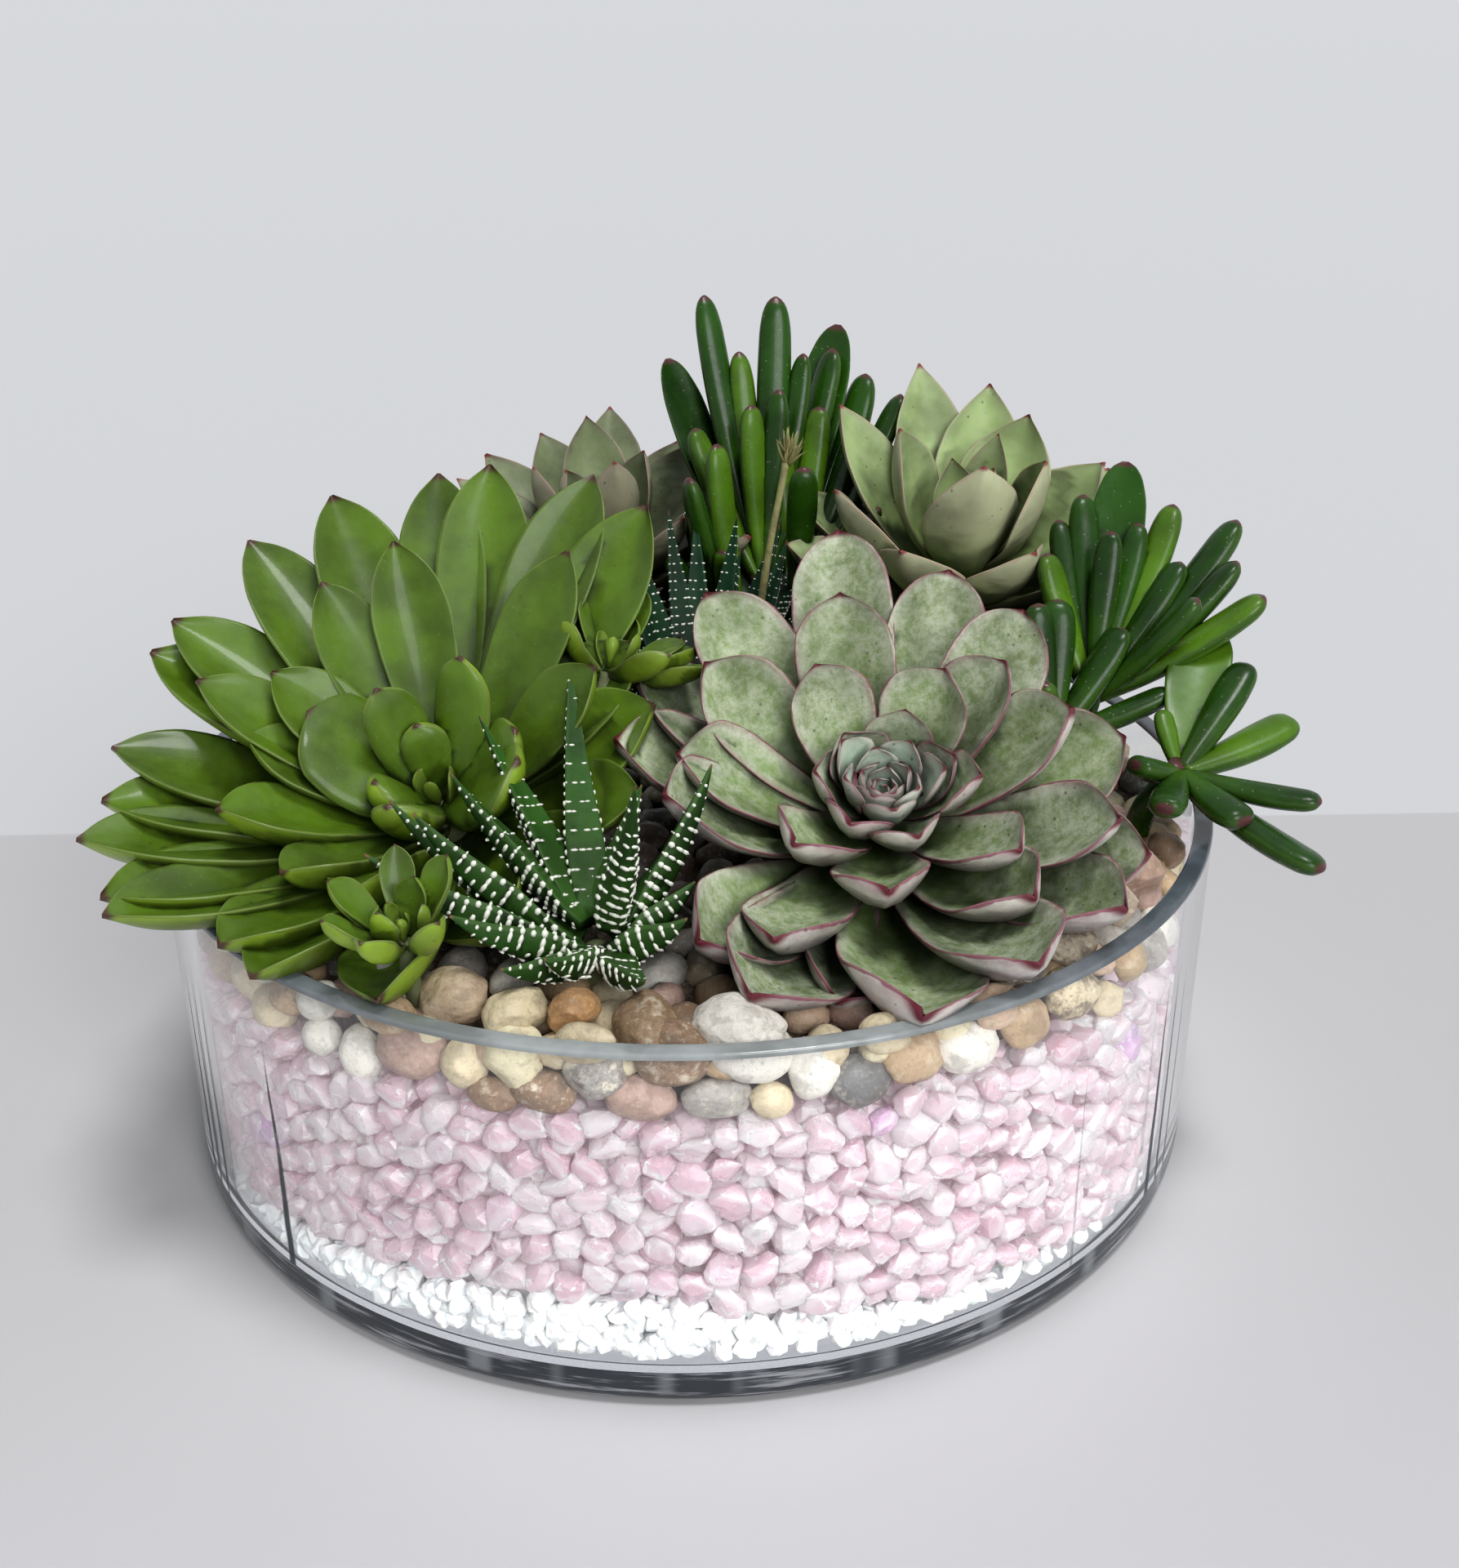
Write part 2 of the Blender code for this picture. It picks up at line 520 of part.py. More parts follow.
def layer_mesh(low, high, radius):
    profile = [(0, low), (radius - 2.0, low), (radius, low + 2.0), (radius, high), (0, high)]
    return closed_mesh("layer", *turned(profile))


def quartz_mesh(low, radius):
    """The chips fill a tray shape: a floor, and a broad band up the wall round the soil."""
    well = SOIL_RADIUS + GAP
    profile = [(0, low), (radius, low), (radius, QUARTZ_TOP), (well, QUARTZ_TOP),
               (well, QUARTZ_FLOOR_TOP), (0, QUARTZ_FLOOR_TOP)]
    return closed_mesh("quartz", *turned(profile))


def bed_height(x, y):
    """Top of the pebble bed: low at the glass, crowned in the middle, with stony lumps."""
    rise = 1.0 - (math.hypot(x, y) / (DISH_RADIUS - WALL)) ** 2
    lump = noise.noise(Vector((x / 11.0, y / 11.0, 3.7)))
    return PEBBLE_EDGE_TOP + PEBBLE_CROWN * rise + 1.2 * lump


def pebble_bed_mesh(radius):
    """A lumpy layer that lies on the soil and on the quartz band."""
    step = SOIL_RADIUS + GAP
    under = [(step - 1.0, SOIL_TOP + GAP), (step, QUARTZ_TOP + GAP), (radius, QUARTZ_TOP + GAP)]
    over = [radius, 106.0, 78.0, 44.0]
    angles = [2 * math.pi * k / SIDES for k in range(SIDES)]
    rings = [[(r * math.cos(a), r * math.sin(a), z) for a in angles] for r, z in under]
    rings += [[(r * math.cos(a), r * math.sin(a), bed_height(r * math.cos(a), r * math.sin(a)))
               for a in angles] for r in over]
    points, faces = loft(rings, (0, 0, SOIL_TOP + GAP), (0, 0, bed_height(0, 0)))
    return closed_mesh("bed", points, faces)


def pebble_mesh(place_xy, size, turn, grow=0.0, seed=0.0):
    """A water-worn stone: a low sphere, flattened and pushed in by broad noise."""
    bm = bmesh.new()
    bmesh.ops.create_icosphere(bm, subdivisions=2, radius=1.0)
    x0, y0 = place_xy
    c, s = math.cos(math.radians(turn)), math.sin(math.radians(turn))
    half = [d / 2 for d in size]
    centre_z = bed_height(x0, y0) + 0.60 * half[2]
    for vert in bm.verts:
        wear = 1.0 + 0.14 * noise.noise(vert.co * 1.1 + Vector((seed, 2.0 * seed, 0.0)))
        x, y, z = (vert.co[i] * (half[i] * wear + grow) for i in range(3))
        vert.co = Vector((x0 + x * c - y * s, y0 + x * s + y * c, centre_z + z)) * MM
    mesh = bpy.data.meshes.new("pebble")
    bm.to_mesh(mesh)
    bm.free()
    return mesh


# ---------------------------------------------------------------- assembly

def near(a, b):
    """Whether the boxes of two meshes meet."""
    box_a, box_b = ([[f(v.co[i] for v in m.vertices) for i in range(3)] for f in (min, max)]
                    for m in (a, b))
    return all(box_a[0][i] < box_b[1][i] and box_b[0][i] < box_a[1][i] for i in range(3))


def build_plants():
    """Makes every plant piece. A piece is joined from its leaves, then relieved round those
    that came before it, so that neighbours rest on each other with the gap between them."""
    rosettes = [PINK, PALE, HAWORTHIA_FRONT, GREEN, GREY, OFFSET_FRONT, OFFSET_RIGHT,
                HAWORTHIA_BACK]
    plants = [(p, rosette_solids(p)) for p in rosettes]
    plants[2:2] = [(p, crassula_solids(p)) for p in (CRASSULA_RIGHT, CRASSULA_BACK)]
    made, rim = [], rim_clearance_mesh()
    for plant, pieces in plants:
        for name, solids, grown in pieces:
            blockers = [g for _, earlier in made for g in earlier
                        if any(near(solid, g) for solid in solids)]
            if any(over_rim(solid) for solid in solids):
                blockers.append(rim)
            mesh = shaped(solids, blockers)
            made.append((name, grown))
            node(name, mesh, material(name, plant["colour"], 0.35))
    return made


def build_dry_stalk(made):
    """The dry flower stalk that leans up between the rosettes, with its seed head."""
    straw = (0.35, 0.30, 0.12)
    stalk = tube_mesh(STALK, STALK_RADIUS, 6)
    tip = STALK[-1]
    head_route = [(tip[0] + dx, tip[1], tip[2] + dz) for dx, dz in
                  ((0.2, GAP), (0.8, 3.0), (1.6, 8.0), (2.2, 11.0))]
    widths = (1.3, 2.4, 2.2, 1.2)
    rings = [[(x + w * math.cos(a), y + w * math.sin(a), z)
              for a in (2 * math.pi * k / 8 for k in range(8))]
             for (x, y, z), w in zip(head_route, widths)]
    head = closed_mesh("head", *loft(rings))
    for name, mesh in (("flower_stalk", stalk), ("seed_head", head)):
        blockers = [g for _, earlier in made for g in earlier if near(mesh, g)]
        node(name, shaped([mesh], blockers), material(name, straw, 0.8))
    made.append(("flower_stalk", [tube_mesh(STALK, STALK_RADIUS, 6, GAP)]))


def build_pebbles(made):
    stones = []
    for k, (name, spot, size, turn) in enumerate(PEBBLES):
        mesh = pebble_mesh(spot, size, turn, 0.0, 1.7 * k)
        blockers = [g for _, earlier in made for g in earlier if near(mesh, g)]
        shade = 0.45 + 0.25 * math.sin(2.3 * k)
        stone_material = material(name, (shade, 0.85 * shade, 0.66 * shade), 0.6)
        node(name, shaped([mesh], blockers), stone_material)
        stones.append(pebble_mesh(spot, size, turn, GAP, 1.7 * k))
    return stones


def build_fillings(made, stones):
    inner = DISH_RADIUS - WALL - GAP
    cutters = [g for _, grown in made for g in grown] + stones
    node("glass_bowl", dish_mesh(), material("glass", (0.8, 0.85, 0.88), 0.05, 0.9))
    gravel = layer_mesh(FLOOR_THICKNESS + GAP, GRAVEL_TOP, inner)
    node("white_gravel", gravel, material("gravel", (0.85, 0.85, 0.84), 0.8))
    quartz = quartz_mesh(GRAVEL_TOP + GAP, inner)
    node("rose_quartz_chips", quartz, material("quartz", (0.75, 0.55, 0.65), 0.3))
    soil = closed_mesh("soil", *turned([(0, QUARTZ_FLOOR_TOP + GAP),
                                        (SOIL_RADIUS, QUARTZ_FLOOR_TOP + GAP),
                                        (SOIL_RADIUS, QUARTZ_TOP), (SOIL_RADIUS - 1.0, SOIL_TOP),
                                        (0, SOIL_TOP)]))
    soil = shaped([soil], [g for g in cutters if near(soil, g)])
    node("potting_soil", soil, material("soil", (0.05, 0.035, 0.025), 0.95))
    bed = pebble_bed_mesh(inner)
    bed = shaped([bed], [g for g in cutters if near(bed, g)])
    node("pebble_bed", bed, material("pebbles", (0.55, 0.47, 0.38), 0.6))


def build():
    for obj in list(bpy.data.objects):
        bpy.data.objects.remove(obj)
    made = build_plants()
    build_dry_stalk(made)
    stones = build_pebbles(made)
    build_fillings(made, stones)


build()
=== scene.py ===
"""Looks of the succulent rock garden: leaves, stones, quartz chips, gravel and glass.

Lengths in the tables are in millimetres and angles in degrees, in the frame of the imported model.
"""
import math

import bmesh
import bpy
import numpy as np
from mathutils import Euler, Matrix, Vector, noise
from mathutils.bvhtree import BVHTree


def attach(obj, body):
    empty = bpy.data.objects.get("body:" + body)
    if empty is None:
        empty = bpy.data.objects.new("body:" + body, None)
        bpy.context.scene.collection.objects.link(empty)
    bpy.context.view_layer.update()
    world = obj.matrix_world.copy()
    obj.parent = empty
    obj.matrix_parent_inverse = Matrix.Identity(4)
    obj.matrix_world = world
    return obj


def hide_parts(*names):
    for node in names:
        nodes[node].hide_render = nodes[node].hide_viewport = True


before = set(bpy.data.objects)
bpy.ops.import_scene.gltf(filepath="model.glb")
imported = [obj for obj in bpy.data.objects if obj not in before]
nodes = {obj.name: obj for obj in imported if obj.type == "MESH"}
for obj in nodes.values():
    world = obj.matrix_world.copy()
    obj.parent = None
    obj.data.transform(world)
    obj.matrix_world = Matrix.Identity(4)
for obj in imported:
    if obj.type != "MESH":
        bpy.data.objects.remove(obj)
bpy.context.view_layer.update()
MM = 0.001
GOLDEN = 137.508

DISH_RADIUS = 125.0
DISH_HEIGHT = 84.2
WALL = 4.2
INNER = DISH_RADIUS - WALL


# ---------------------------------------------------------------- camera, lights and stage

def aim_camera():
    """A camera above the table in front of the dish, which looks down on it at about 25 degrees."""
    camera = bpy.data.cameras.new("camera")
    camera.lens = 40.7
    camera.sensor_width = camera.sensor_height = 36.0
    body = bpy.data.objects.new("camera", camera)
    place = Vector((0.0, -0.3967, 0.2644))
    tilt, lean, turn = (math.radians(degrees) for degrees in (65.135, 0.248, -1.532))
    body.matrix_world = Matrix.LocRotScale(place, Euler((tilt, lean, turn)), None)
    bpy.context.scene.collection.objects.link(body)
    bpy.context.scene.camera = body


def soft_sun(name, place, strength, spread):
    """Even light from the direction of place. spread is the angle of its source."""
    lamp = bpy.data.lights.new(name, "SUN")
    lamp.energy = strength
    lamp.angle = math.radians(spread)
    body = bpy.data.objects.new(name, lamp)
    body.location = place
    body.rotation_euler = (-Vector(place)).to_track_quat("-Z", "Y").to_euler()
    bpy.context.scene.collection.objects.link(body)


def set_stage():
    """A pale table that meets a slightly darker wall tone behind the dish, and a soft sky."""
    world = bpy.data.worlds.new("studio")
    bpy.context.scene.world = world
    world.use_nodes = True
    tree = world.node_tree
    tree.nodes.clear()
    out = tree.nodes.new("ShaderNodeOutputWorld")
    mix = tree.nodes.new("ShaderNodeMixShader")
    path = tree.nodes.new("ShaderNodeLightPath")
    sky, shown = (tree.nodes.new("ShaderNodeBackground") for _ in range(2))
    sky.inputs["Color"].default_value = (0.92, 0.95, 1.0, 1)
    sky.inputs["Strength"].default_value = 0.18
    shown.inputs["Color"].default_value = (0.67, 0.685, 0.71, 1)
    shown.inputs["Strength"].default_value = 1.0
    seen = [path.outputs[f"Is {kind} Ray"] for kind in ("Camera", "Glossy", "Transmission")]
    total = seen[0]
    for other in seen[1:]:
        highest = tree.nodes.new("ShaderNodeMath")
        highest.operation = "MAXIMUM"
        tree.links.new(total, highest.inputs[0])
        tree.links.new(other, highest.inputs[1])
        total = highest.outputs[0]
    tree.links.new(total, mix.inputs["Fac"])
    tree.links.new(sky.outputs[0], mix.inputs[1])
    tree.links.new(shown.outputs[0], mix.inputs[2])
    tree.links.new(mix.outputs[0], out.inputs["Surface"])

    far = 30.0
    floor = mesh_object("floor", [(-far, -far, 0), (far, -far, 0), (far, far, 0), (-far, far, 0)],
                        [(0, 1, 2, 3)])
    paint = Paint("table")
    place = paint.split(paint.coords("Object"))
    beyond = paint.remap(place["Y"], 0.1405, 0.1425)
    # Painted light: the table is painted lighter towards the camera.
    painted_light_near = paint.mix(paint.remap(place["Y"], -0.04, -0.26), (0.565, 0.56, 0.575), (0.66, 0.655, 0.68))
    paint.surface(paint.mix(beyond, painted_light_near, (0.66, 0.67, 0.685)), roughness=0.6)
    floor.data.materials.append(paint.material)

    soft_sun("top_light", (0.20, -0.14, 1.0), 1.65, 16)
    soft_sun("front_light", (0.45, -1.0, 0.66), 1.85, 32)
    view = bpy.context.scene.view_settings
    view.view_transform = "Standard"


# ---------------------------------------------------------------- materials

class Paint:
    """A material under construction. Its methods add nodes and return their output sockets."""

    def __init__(self, name):
        self.material = bpy.data.materials.new(name)
        self.material.use_nodes = True
        self.tree = self.material.node_tree
        self.shader = self.tree.nodes["Principled BSDF"]

    def add(self, kind, **settings):
        made = self.tree.nodes.new(kind)
        for key, value in settings.items():
            setattr(made, key, value)
        return made

    def feed(self, socket, value):
        if isinstance(value, bpy.types.NodeSocket):
            self.tree.links.new(value, socket)
        elif isinstance(value, (tuple, list)) and len(value) == 3 and socket.type == "RGBA":
            socket.default_value = (*value, 1.0)
        else:
            socket.default_value = value

    def coords(self, kind="Object"):
        return self.add("ShaderNodeTexCoord").outputs[kind]

    def split(self, vector):
        made = self.add("ShaderNodeSeparateXYZ")
        self.feed(made.inputs[0], vector)
        return made.outputs

    def attribute(self, name, colour=False):
        made = self.add("ShaderNodeAttribute", attribute_name=name)
        return made.outputs["Color" if colour else "Fac"]

    def noise(self, scale, detail=3.0, vector=None, stretch=None, roughness=0.55):
        made = self.add("ShaderNodeTexNoise")
        made.inputs["Scale"].default_value = scale
        made.inputs["Detail"].default_value = detail
        made.inputs["Roughness"].default_value = roughness
        source = vector or self.coords()
        if stretch:
            mapping = self.add("ShaderNodeMapping")
            mapping.inputs["Scale"].default_value = stretch
            self.feed(mapping.inputs["Vector"], source)
            source = mapping.outputs[0]
        self.feed(made.inputs["Vector"], source)
        return made.outputs["Fac"]

    def cells(self, scale, feature="F1", output="Distance"):
        made = self.add("ShaderNodeTexVoronoi", feature=feature)
        made.inputs["Scale"].default_value = scale
        self.feed(made.inputs["Vector"], self.coords())
        return made.outputs[output]

    def math(self, operation, a, b=0.0, clamp=False):
        made = self.add("ShaderNodeMath", operation=operation, use_clamp=clamp)
        self.feed(made.inputs[0], a)
        self.feed(made.inputs[1], b)
        return made.outputs[0]

    def remap(self, value, low, high, to_low=0.0, to_high=1.0):
        made = self.add("ShaderNodeMapRange", interpolation_type="SMOOTHSTEP")
        self.feed(made.inputs["Value"], value)
        for key, number in (("From Min", low), ("From Max", high), ("To Min", to_low),
                            ("To Max", to_high)):
            made.inputs[key].default_value = number
        return made.outputs["Result"]

    def mix(self, factor, a, b, blend="MIX"):
        made = self.add("ShaderNodeMix", data_type="RGBA", blend_type=blend)
        self.feed(made.inputs["Factor"], factor)
        self.feed(made.inputs[6], a)
        self.feed(made.inputs[7], b)
        return made.outputs[2]

    def scaled(self, colour, factor):
        made = self.add("ShaderNodeVectorMath", operation="SCALE")
        self.feed(made.inputs[0], colour)
        self.feed(made.inputs["Scale"], factor)
        return made.outputs[0]

    def ramp(self, factor, stops):
        made = self.add("ShaderNodeValToRGB")
        elements = made.color_ramp.elements
        while len(elements) < len(stops):
            elements.new(0.5)
        for element, (place, colour) in zip(elements, stops):
            element.position = place
            element.color = (*colour, 1.0)
        self.feed(made.inputs[0], factor)
        return made.outputs["Color"]

    def bump(self, height, distance, strength=1.0):
        made = self.add("ShaderNodeBump")
        made.inputs["Distance"].default_value = distance
        made.inputs["Strength"].default_value = strength
        self.feed(made.inputs["Height"], height)
        return made.outputs["Normal"]

    def surface(self, colour, roughness=0.5, normal=None, **others):
        self.feed(self.shader.inputs["Base Color"], colour)
        self.feed(self.shader.inputs["Roughness"], roughness)
        if normal is not None:
            self.feed(self.shader.inputs["Normal"], normal)
        for key, value in others.items():
            self.feed(self.shader.inputs[key.replace("_", " ")], value)
        return self.material


def leaf_paint(name, heart, base, blade, under, rim, rim_width, tip, bloom, bloom_share,
               roughness, speck=0.0, veins=0.3, flush=0.3, dirt=0.35, gloss=0.0, shine=0.28):
    """A succulent leaf: colour runs from its base to its blade, its margin and its tip, the
    under side has its own colour, and a powdery bloom lies over it in soft patches."""
    paint = Paint(name)
    along, margin = paint.attribute("along"), paint.attribute("margin")
    upper, tone, age = (paint.attribute(mark) for mark in ("upper", "tone", "age"))
    broad = paint.noise(60.0, 3.0)
    grainy = paint.noise(420.0, 8.0, roughness=0.8)
    top = paint.mix(paint.remap(along, 0.05, 0.62), base, blade)
    top = paint.mix(paint.remap(age, 0.50, 0.85), top, heart)
    lower = paint.mix(paint.remap(along, 0.05, 0.6), base, under)
    lower = paint.mix(paint.remap(age, 0.50, 0.85, 0.0, 0.7), lower, heart)
    body = paint.mix(paint.remap(upper, -0.10, 0.10), lower, top)
    shade = paint.math("ADD", paint.remap(broad, 0.30, 0.70, 0.60, 1.26),
                       paint.math("MULTIPLY", tone, 0.20))
    body = paint.scaled(body, shade)
    if bloom_share:
        cloud = paint.math("MULTIPLY", paint.remap(grainy, 0.36, 0.63, 0.22, 1.0),
                           paint.remap(along, 0.15, 0.80, 0.16, 1.0))
        cloud = paint.math("MULTIPLY", cloud, paint.remap(broad, 0.32, 0.62, 0.42, 1.0))
        cloud = paint.math("ADD", cloud, paint.remap(margin, 4.0, 0.6, 0.0, 0.45))
        powder = paint.math("MULTIPLY", cloud, bloom_share)
        body = paint.mix(powder, body, bloom)
    patchy = paint.remap(paint.noise(90.0, 3.0), 0.35, 0.62, 0.15, 1.0)
    glow = paint.math("MULTIPLY", patchy,
                      paint.remap(margin, rim_width * 6.0, rim_width * 0.6, 0.0, flush))
    body = paint.mix(glow, body, rim)
    wander = paint.remap(paint.noise(220.0, 2.0), 0.3, 0.7, -0.45, 0.45)
    wander = paint.math("MULTIPLY", wander, rim_width)
    edge = paint.math("ADD", margin, wander)
    line = paint.math("MULTIPLY", paint.remap(edge, rim_width * 1.2, rim_width * 0.6),
                      paint.remap(age, 0.6, 0.9, 0.85, 0.3))
    body = paint.mix(line, body, rim)
    body = paint.mix(paint.remap(along, 0.968, 0.99), body, tip)
    if dirt:
        spots = paint.math("MULTIPLY", paint.remap(paint.cells(330.0), 0.16, 0.08, 0.0, 1.0),
                           paint.remap(paint.noise(45.0, 2.0), 0.48, 0.60, 0.0, dirt))
        body = paint.mix(spots, body, (0.035, 0.03, 0.018))
    if speck:
        dots = paint.remap(paint.cells(520.0), 0.12, 0.06, 0.0, speck)
        body = paint.mix(dots, body, (0.62, 0.62, 0.50))
    height = paint.math("ADD", paint.math("MULTIPLY", broad, 0.6), paint.math("MULTIPLY", grainy, 0.4))
    # Painted shade: the colour is darker where a point's outlook is closed, in the hollows between leaves,
    # and less so on the young heart leaves.
    painted_hollow_shade = paint.remap(paint.attribute("open"), 0.0, 0.55, 0.24, 1.0)
    painted_hollow_shade = paint.math("MAXIMUM", painted_hollow_shade, paint.remap(age, 0.5, 1.0, 0.0, 0.62))
    body = paint.scaled(body, painted_hollow_shade)
    sheen = paint.remap(grainy, 0.3, 0.7, roughness - 0.07, roughness + 0.12)
    return paint.surface(body, sheen, paint.bump(height, 0.0008, veins),
                         Subsurface_Weight=0.05, Subsurface_Scale=0.002, Specular_IOR_Level=shine,
                         Coat_Weight=gloss, Coat_Roughness=0.12)


def mesh_object(name, points, faces, smooth=False):
    """A mesh object at the origin, linked to the scene. points are in metres."""
    mesh = bpy.data.meshes.new(name)
    mesh.from_pydata([tuple(p) for p in points], [], [tuple(f) for f in faces])
    mesh.validate()
    if smooth:
        mesh.shade_smooth()
    body = bpy.data.objects.new(name, mesh)
    bpy.context.scene.collection.objects.link(body)
    return body


# ---------------------------------------------------------------- leaves

# Leaf forms: outline is the half width along the leaf, and depth the thickness, as shares
SPOON = {"outline": [(0, 0.32), (0.15, 0.46), (0.35, 0.74), (0.55, 0.93), (0.70, 1.0), (0.82, 0.94),
                     (0.91, 0.72), (0.955, 0.48), (0.978, 0.26), (0.988, 0.12), (1, 0.03)],
         "depth": [(0, 0.55), (0.3, 0.95), (0.6, 1.0), (0.85, 0.72), (0.96, 0.42), (1, 0.12)],
         "cup": 0.38, "keel": 0.25, "crown": 0.10}
LANCE = {"outline": [(0, 0.34), (0.18, 0.48), (0.40, 0.78), (0.58, 0.96), (0.70, 1.0), (0.81, 0.90),
                     (0.89, 0.68), (0.945, 0.42), (0.98, 0.17), (1, 0.03)],
         "depth": [(0, 0.60), (0.3, 1.0), (0.6, 1.0), (0.85, 0.70), (1, 0.12)], "cup": 0.33,
         "fold": 0.015, "keel": 0.3}
OVATE = {"outline": [(0, 0.34), (0.18, 0.60), (0.38, 0.90), (0.56, 1.0), (0.72, 0.88), (0.85, 0.58),
                     (0.93, 0.30), (0.975, 0.11), (1, 0.02)],
         "depth": [(0, 0.55), (0.3, 1.0), (0.6, 0.9), (0.85, 0.6), (1, 0.1)], "cup": 0.36,
         "keel": 0.35}
PLUMP = {"outline": [(0, 0.44), (0.15, 0.66), (0.35, 0.92), (0.55, 1.0), (0.74, 0.96), (0.87, 0.76),
                     (0.94, 0.48), (0.975, 0.22), (1, 0.03)],
         "depth": [(0, 0.7), (0.3, 1.0), (0.6, 0.95), (0.85, 0.7), (1, 0.12)], "cup": 0.08,
         "crown": 0.45, "keel": 0.2}
TAPER = {"outline": [(0, 0.62), (0.12, 0.92), (0.25, 1.0), (0.5, 0.74), (0.75, 0.42), (0.92, 0.16),
                     (1, 0.02)],
         "depth": [(0, 0.8), (0.25, 1.0), (0.55, 0.78), (0.8, 0.45), (1, 0.06)], "cup": 0.22,
         "keel": 0.25}
FINGER = {"outline": [(0, 0.42), (0.2, 0.62), (0.45, 0.86), (0.72, 1.0), (0.87, 0.94), (0.94, 0.78),
                      (0.975, 0.56), (0.993, 0.30), (1, 0.10)],
          "depth": [(0, 0.6), (0.25, 0.85), (0.60, 1.0), (0.88, 0.9), (0.96, 0.66), (1, 0.15)],
          "cup": 0.0, "crown": 0.48, "keel": 0.0}
PADDLE = {"outline": [(0, 0.26), (0.2, 0.52), (0.42, 0.86), (0.62, 1.0), (0.80, 0.94), (0.92, 0.70),
                      (0.975, 0.42), (1, 0.12)],
          "depth": [(0, 0.7), (0.3, 1.0), (0.6, 0.9), (0.88, 0.6), (1, 0.25)], "cup": 0.14}


def smooth_table(table, t):
    """Values of a table of points, on a curve that has no overshoot between them."""
    x, y = (np.array([p[i] for p in table], float) for i in (0, 1))
    run, slope = np.diff(x), np.diff(y) / np.diff(x)
    bend = np.concatenate([[slope[0]], np.zeros(len(x) - 2), [slope[-1]]])
    same = slope[1:] * slope[:-1] > 0
    bend[1:-1][same] = 2 * slope[1:][same] * slope[:-1][same] / (slope[1:] + slope[:-1])[same]
    k = np.clip(np.searchsorted(x, t) - 1, 0, len(run) - 1)
    s = (t - x[k]) / run[k]
    return ((2 * s**3 - 3 * s**2 + 1) * y[k] + (s**3 - 2 * s**2 + s) * run[k] * bend[k]
            + (3 * s**2 - 2 * s**3) * y[k + 1] + (s**3 - s**2) * run[k] * bend[k + 1])


def leaf_body(form, length, width, thick, rise, bend, curl=0.0, fold=0.0, roll=0.0, sway=0.0,
              lift=0.0, steps=30, around=22, ripple=0.0):
    """Rings of one leaf that leaves the origin along +X, and what its material reads."""
    s = np.linspace(0.0, 1.0, steps)
    t = 1 - (1 - s) ** 1.45
    angle = np.radians(rise + bend * (t - 0.5))
    angle = angle + np.radians(curl) * np.clip((t - 0.62) / 0.38, 0, 1) ** 1.5
    step = np.diff(t) * length
    mean = (angle[1:] + angle[:-1]) / 2
    x = np.concatenate([[0], np.cumsum(step * np.cos(mean))])
    z = np.concatenate([[0], np.cumsum(step * np.sin(mean))])
    w = width / 2 * smooth_table(form["outline"], t)
    h = thick * smooth_table(form["depth"], t)
    edge = form["cup"] * w * (1 + 0.5 * np.clip((t - 0.5) * 2, 0, 1))
    phi = 2 * np.pi * (np.arange(around) + 0.5) / around
    u = np.sign(np.cos(phi)) * np.abs(np.cos(phi)) ** 0.85
    v = np.sin(phi)
    au = np.abs(u)
    fold = fold + form.get("fold", 0.0)
    middle = edge[:, None] * au ** 1.7 + fold * w[:, None] * au
    wave = np.sin(t * 9.0 + 40.0 * fold)[:, None] * np.sign(u) + np.sin(t * 14.0)[:, None]
    middle = middle + ripple * width * wave * au ** 3 * np.clip(t, 0, 1)[:, None]
    crown = form.get("crown", 0.16)
    top = crown * h[:, None] * np.maximum(v, 0)
    keel = form.get("keel", 0.2)
    low = (1.0 - crown * (crown > 0.3)) * h[:, None] * np.maximum(-v, 0)
    low = low * (1 - keel + keel * np.maximum(-v, 0) ** 6)
    rise_up = middle + top - low
    y = w[:, None] * u
    turn = np.radians(roll) * np.clip(t / 0.4, 0, 1)
    y, rise_up = (y * np.cos(turn)[:, None] - rise_up * np.sin(turn)[:, None],
                  y * np.sin(turn)[:, None] + rise_up * np.cos(turn)[:, None])
    y = y + (sway * length * t ** 2)[:, None]
    rise_up = rise_up + (lift * np.clip(t / 0.45, 0, 1) ** 2)[:, None]
    rings = np.stack([x[:, None] - rise_up * np.sin(angle)[:, None], y,
                      z[:, None] + rise_up * np.cos(angle)[:, None]], -1)
    side = np.clip(w[:, None] * (1 - au), 0, None)
    margin = np.minimum(side, (length * (1 - t) * 0.8)[:, None])
    marks = {"along": t[:, None] + 0 * u, "upper": v + 0 * t[:, None], "margin": margin}
    return rings, marks


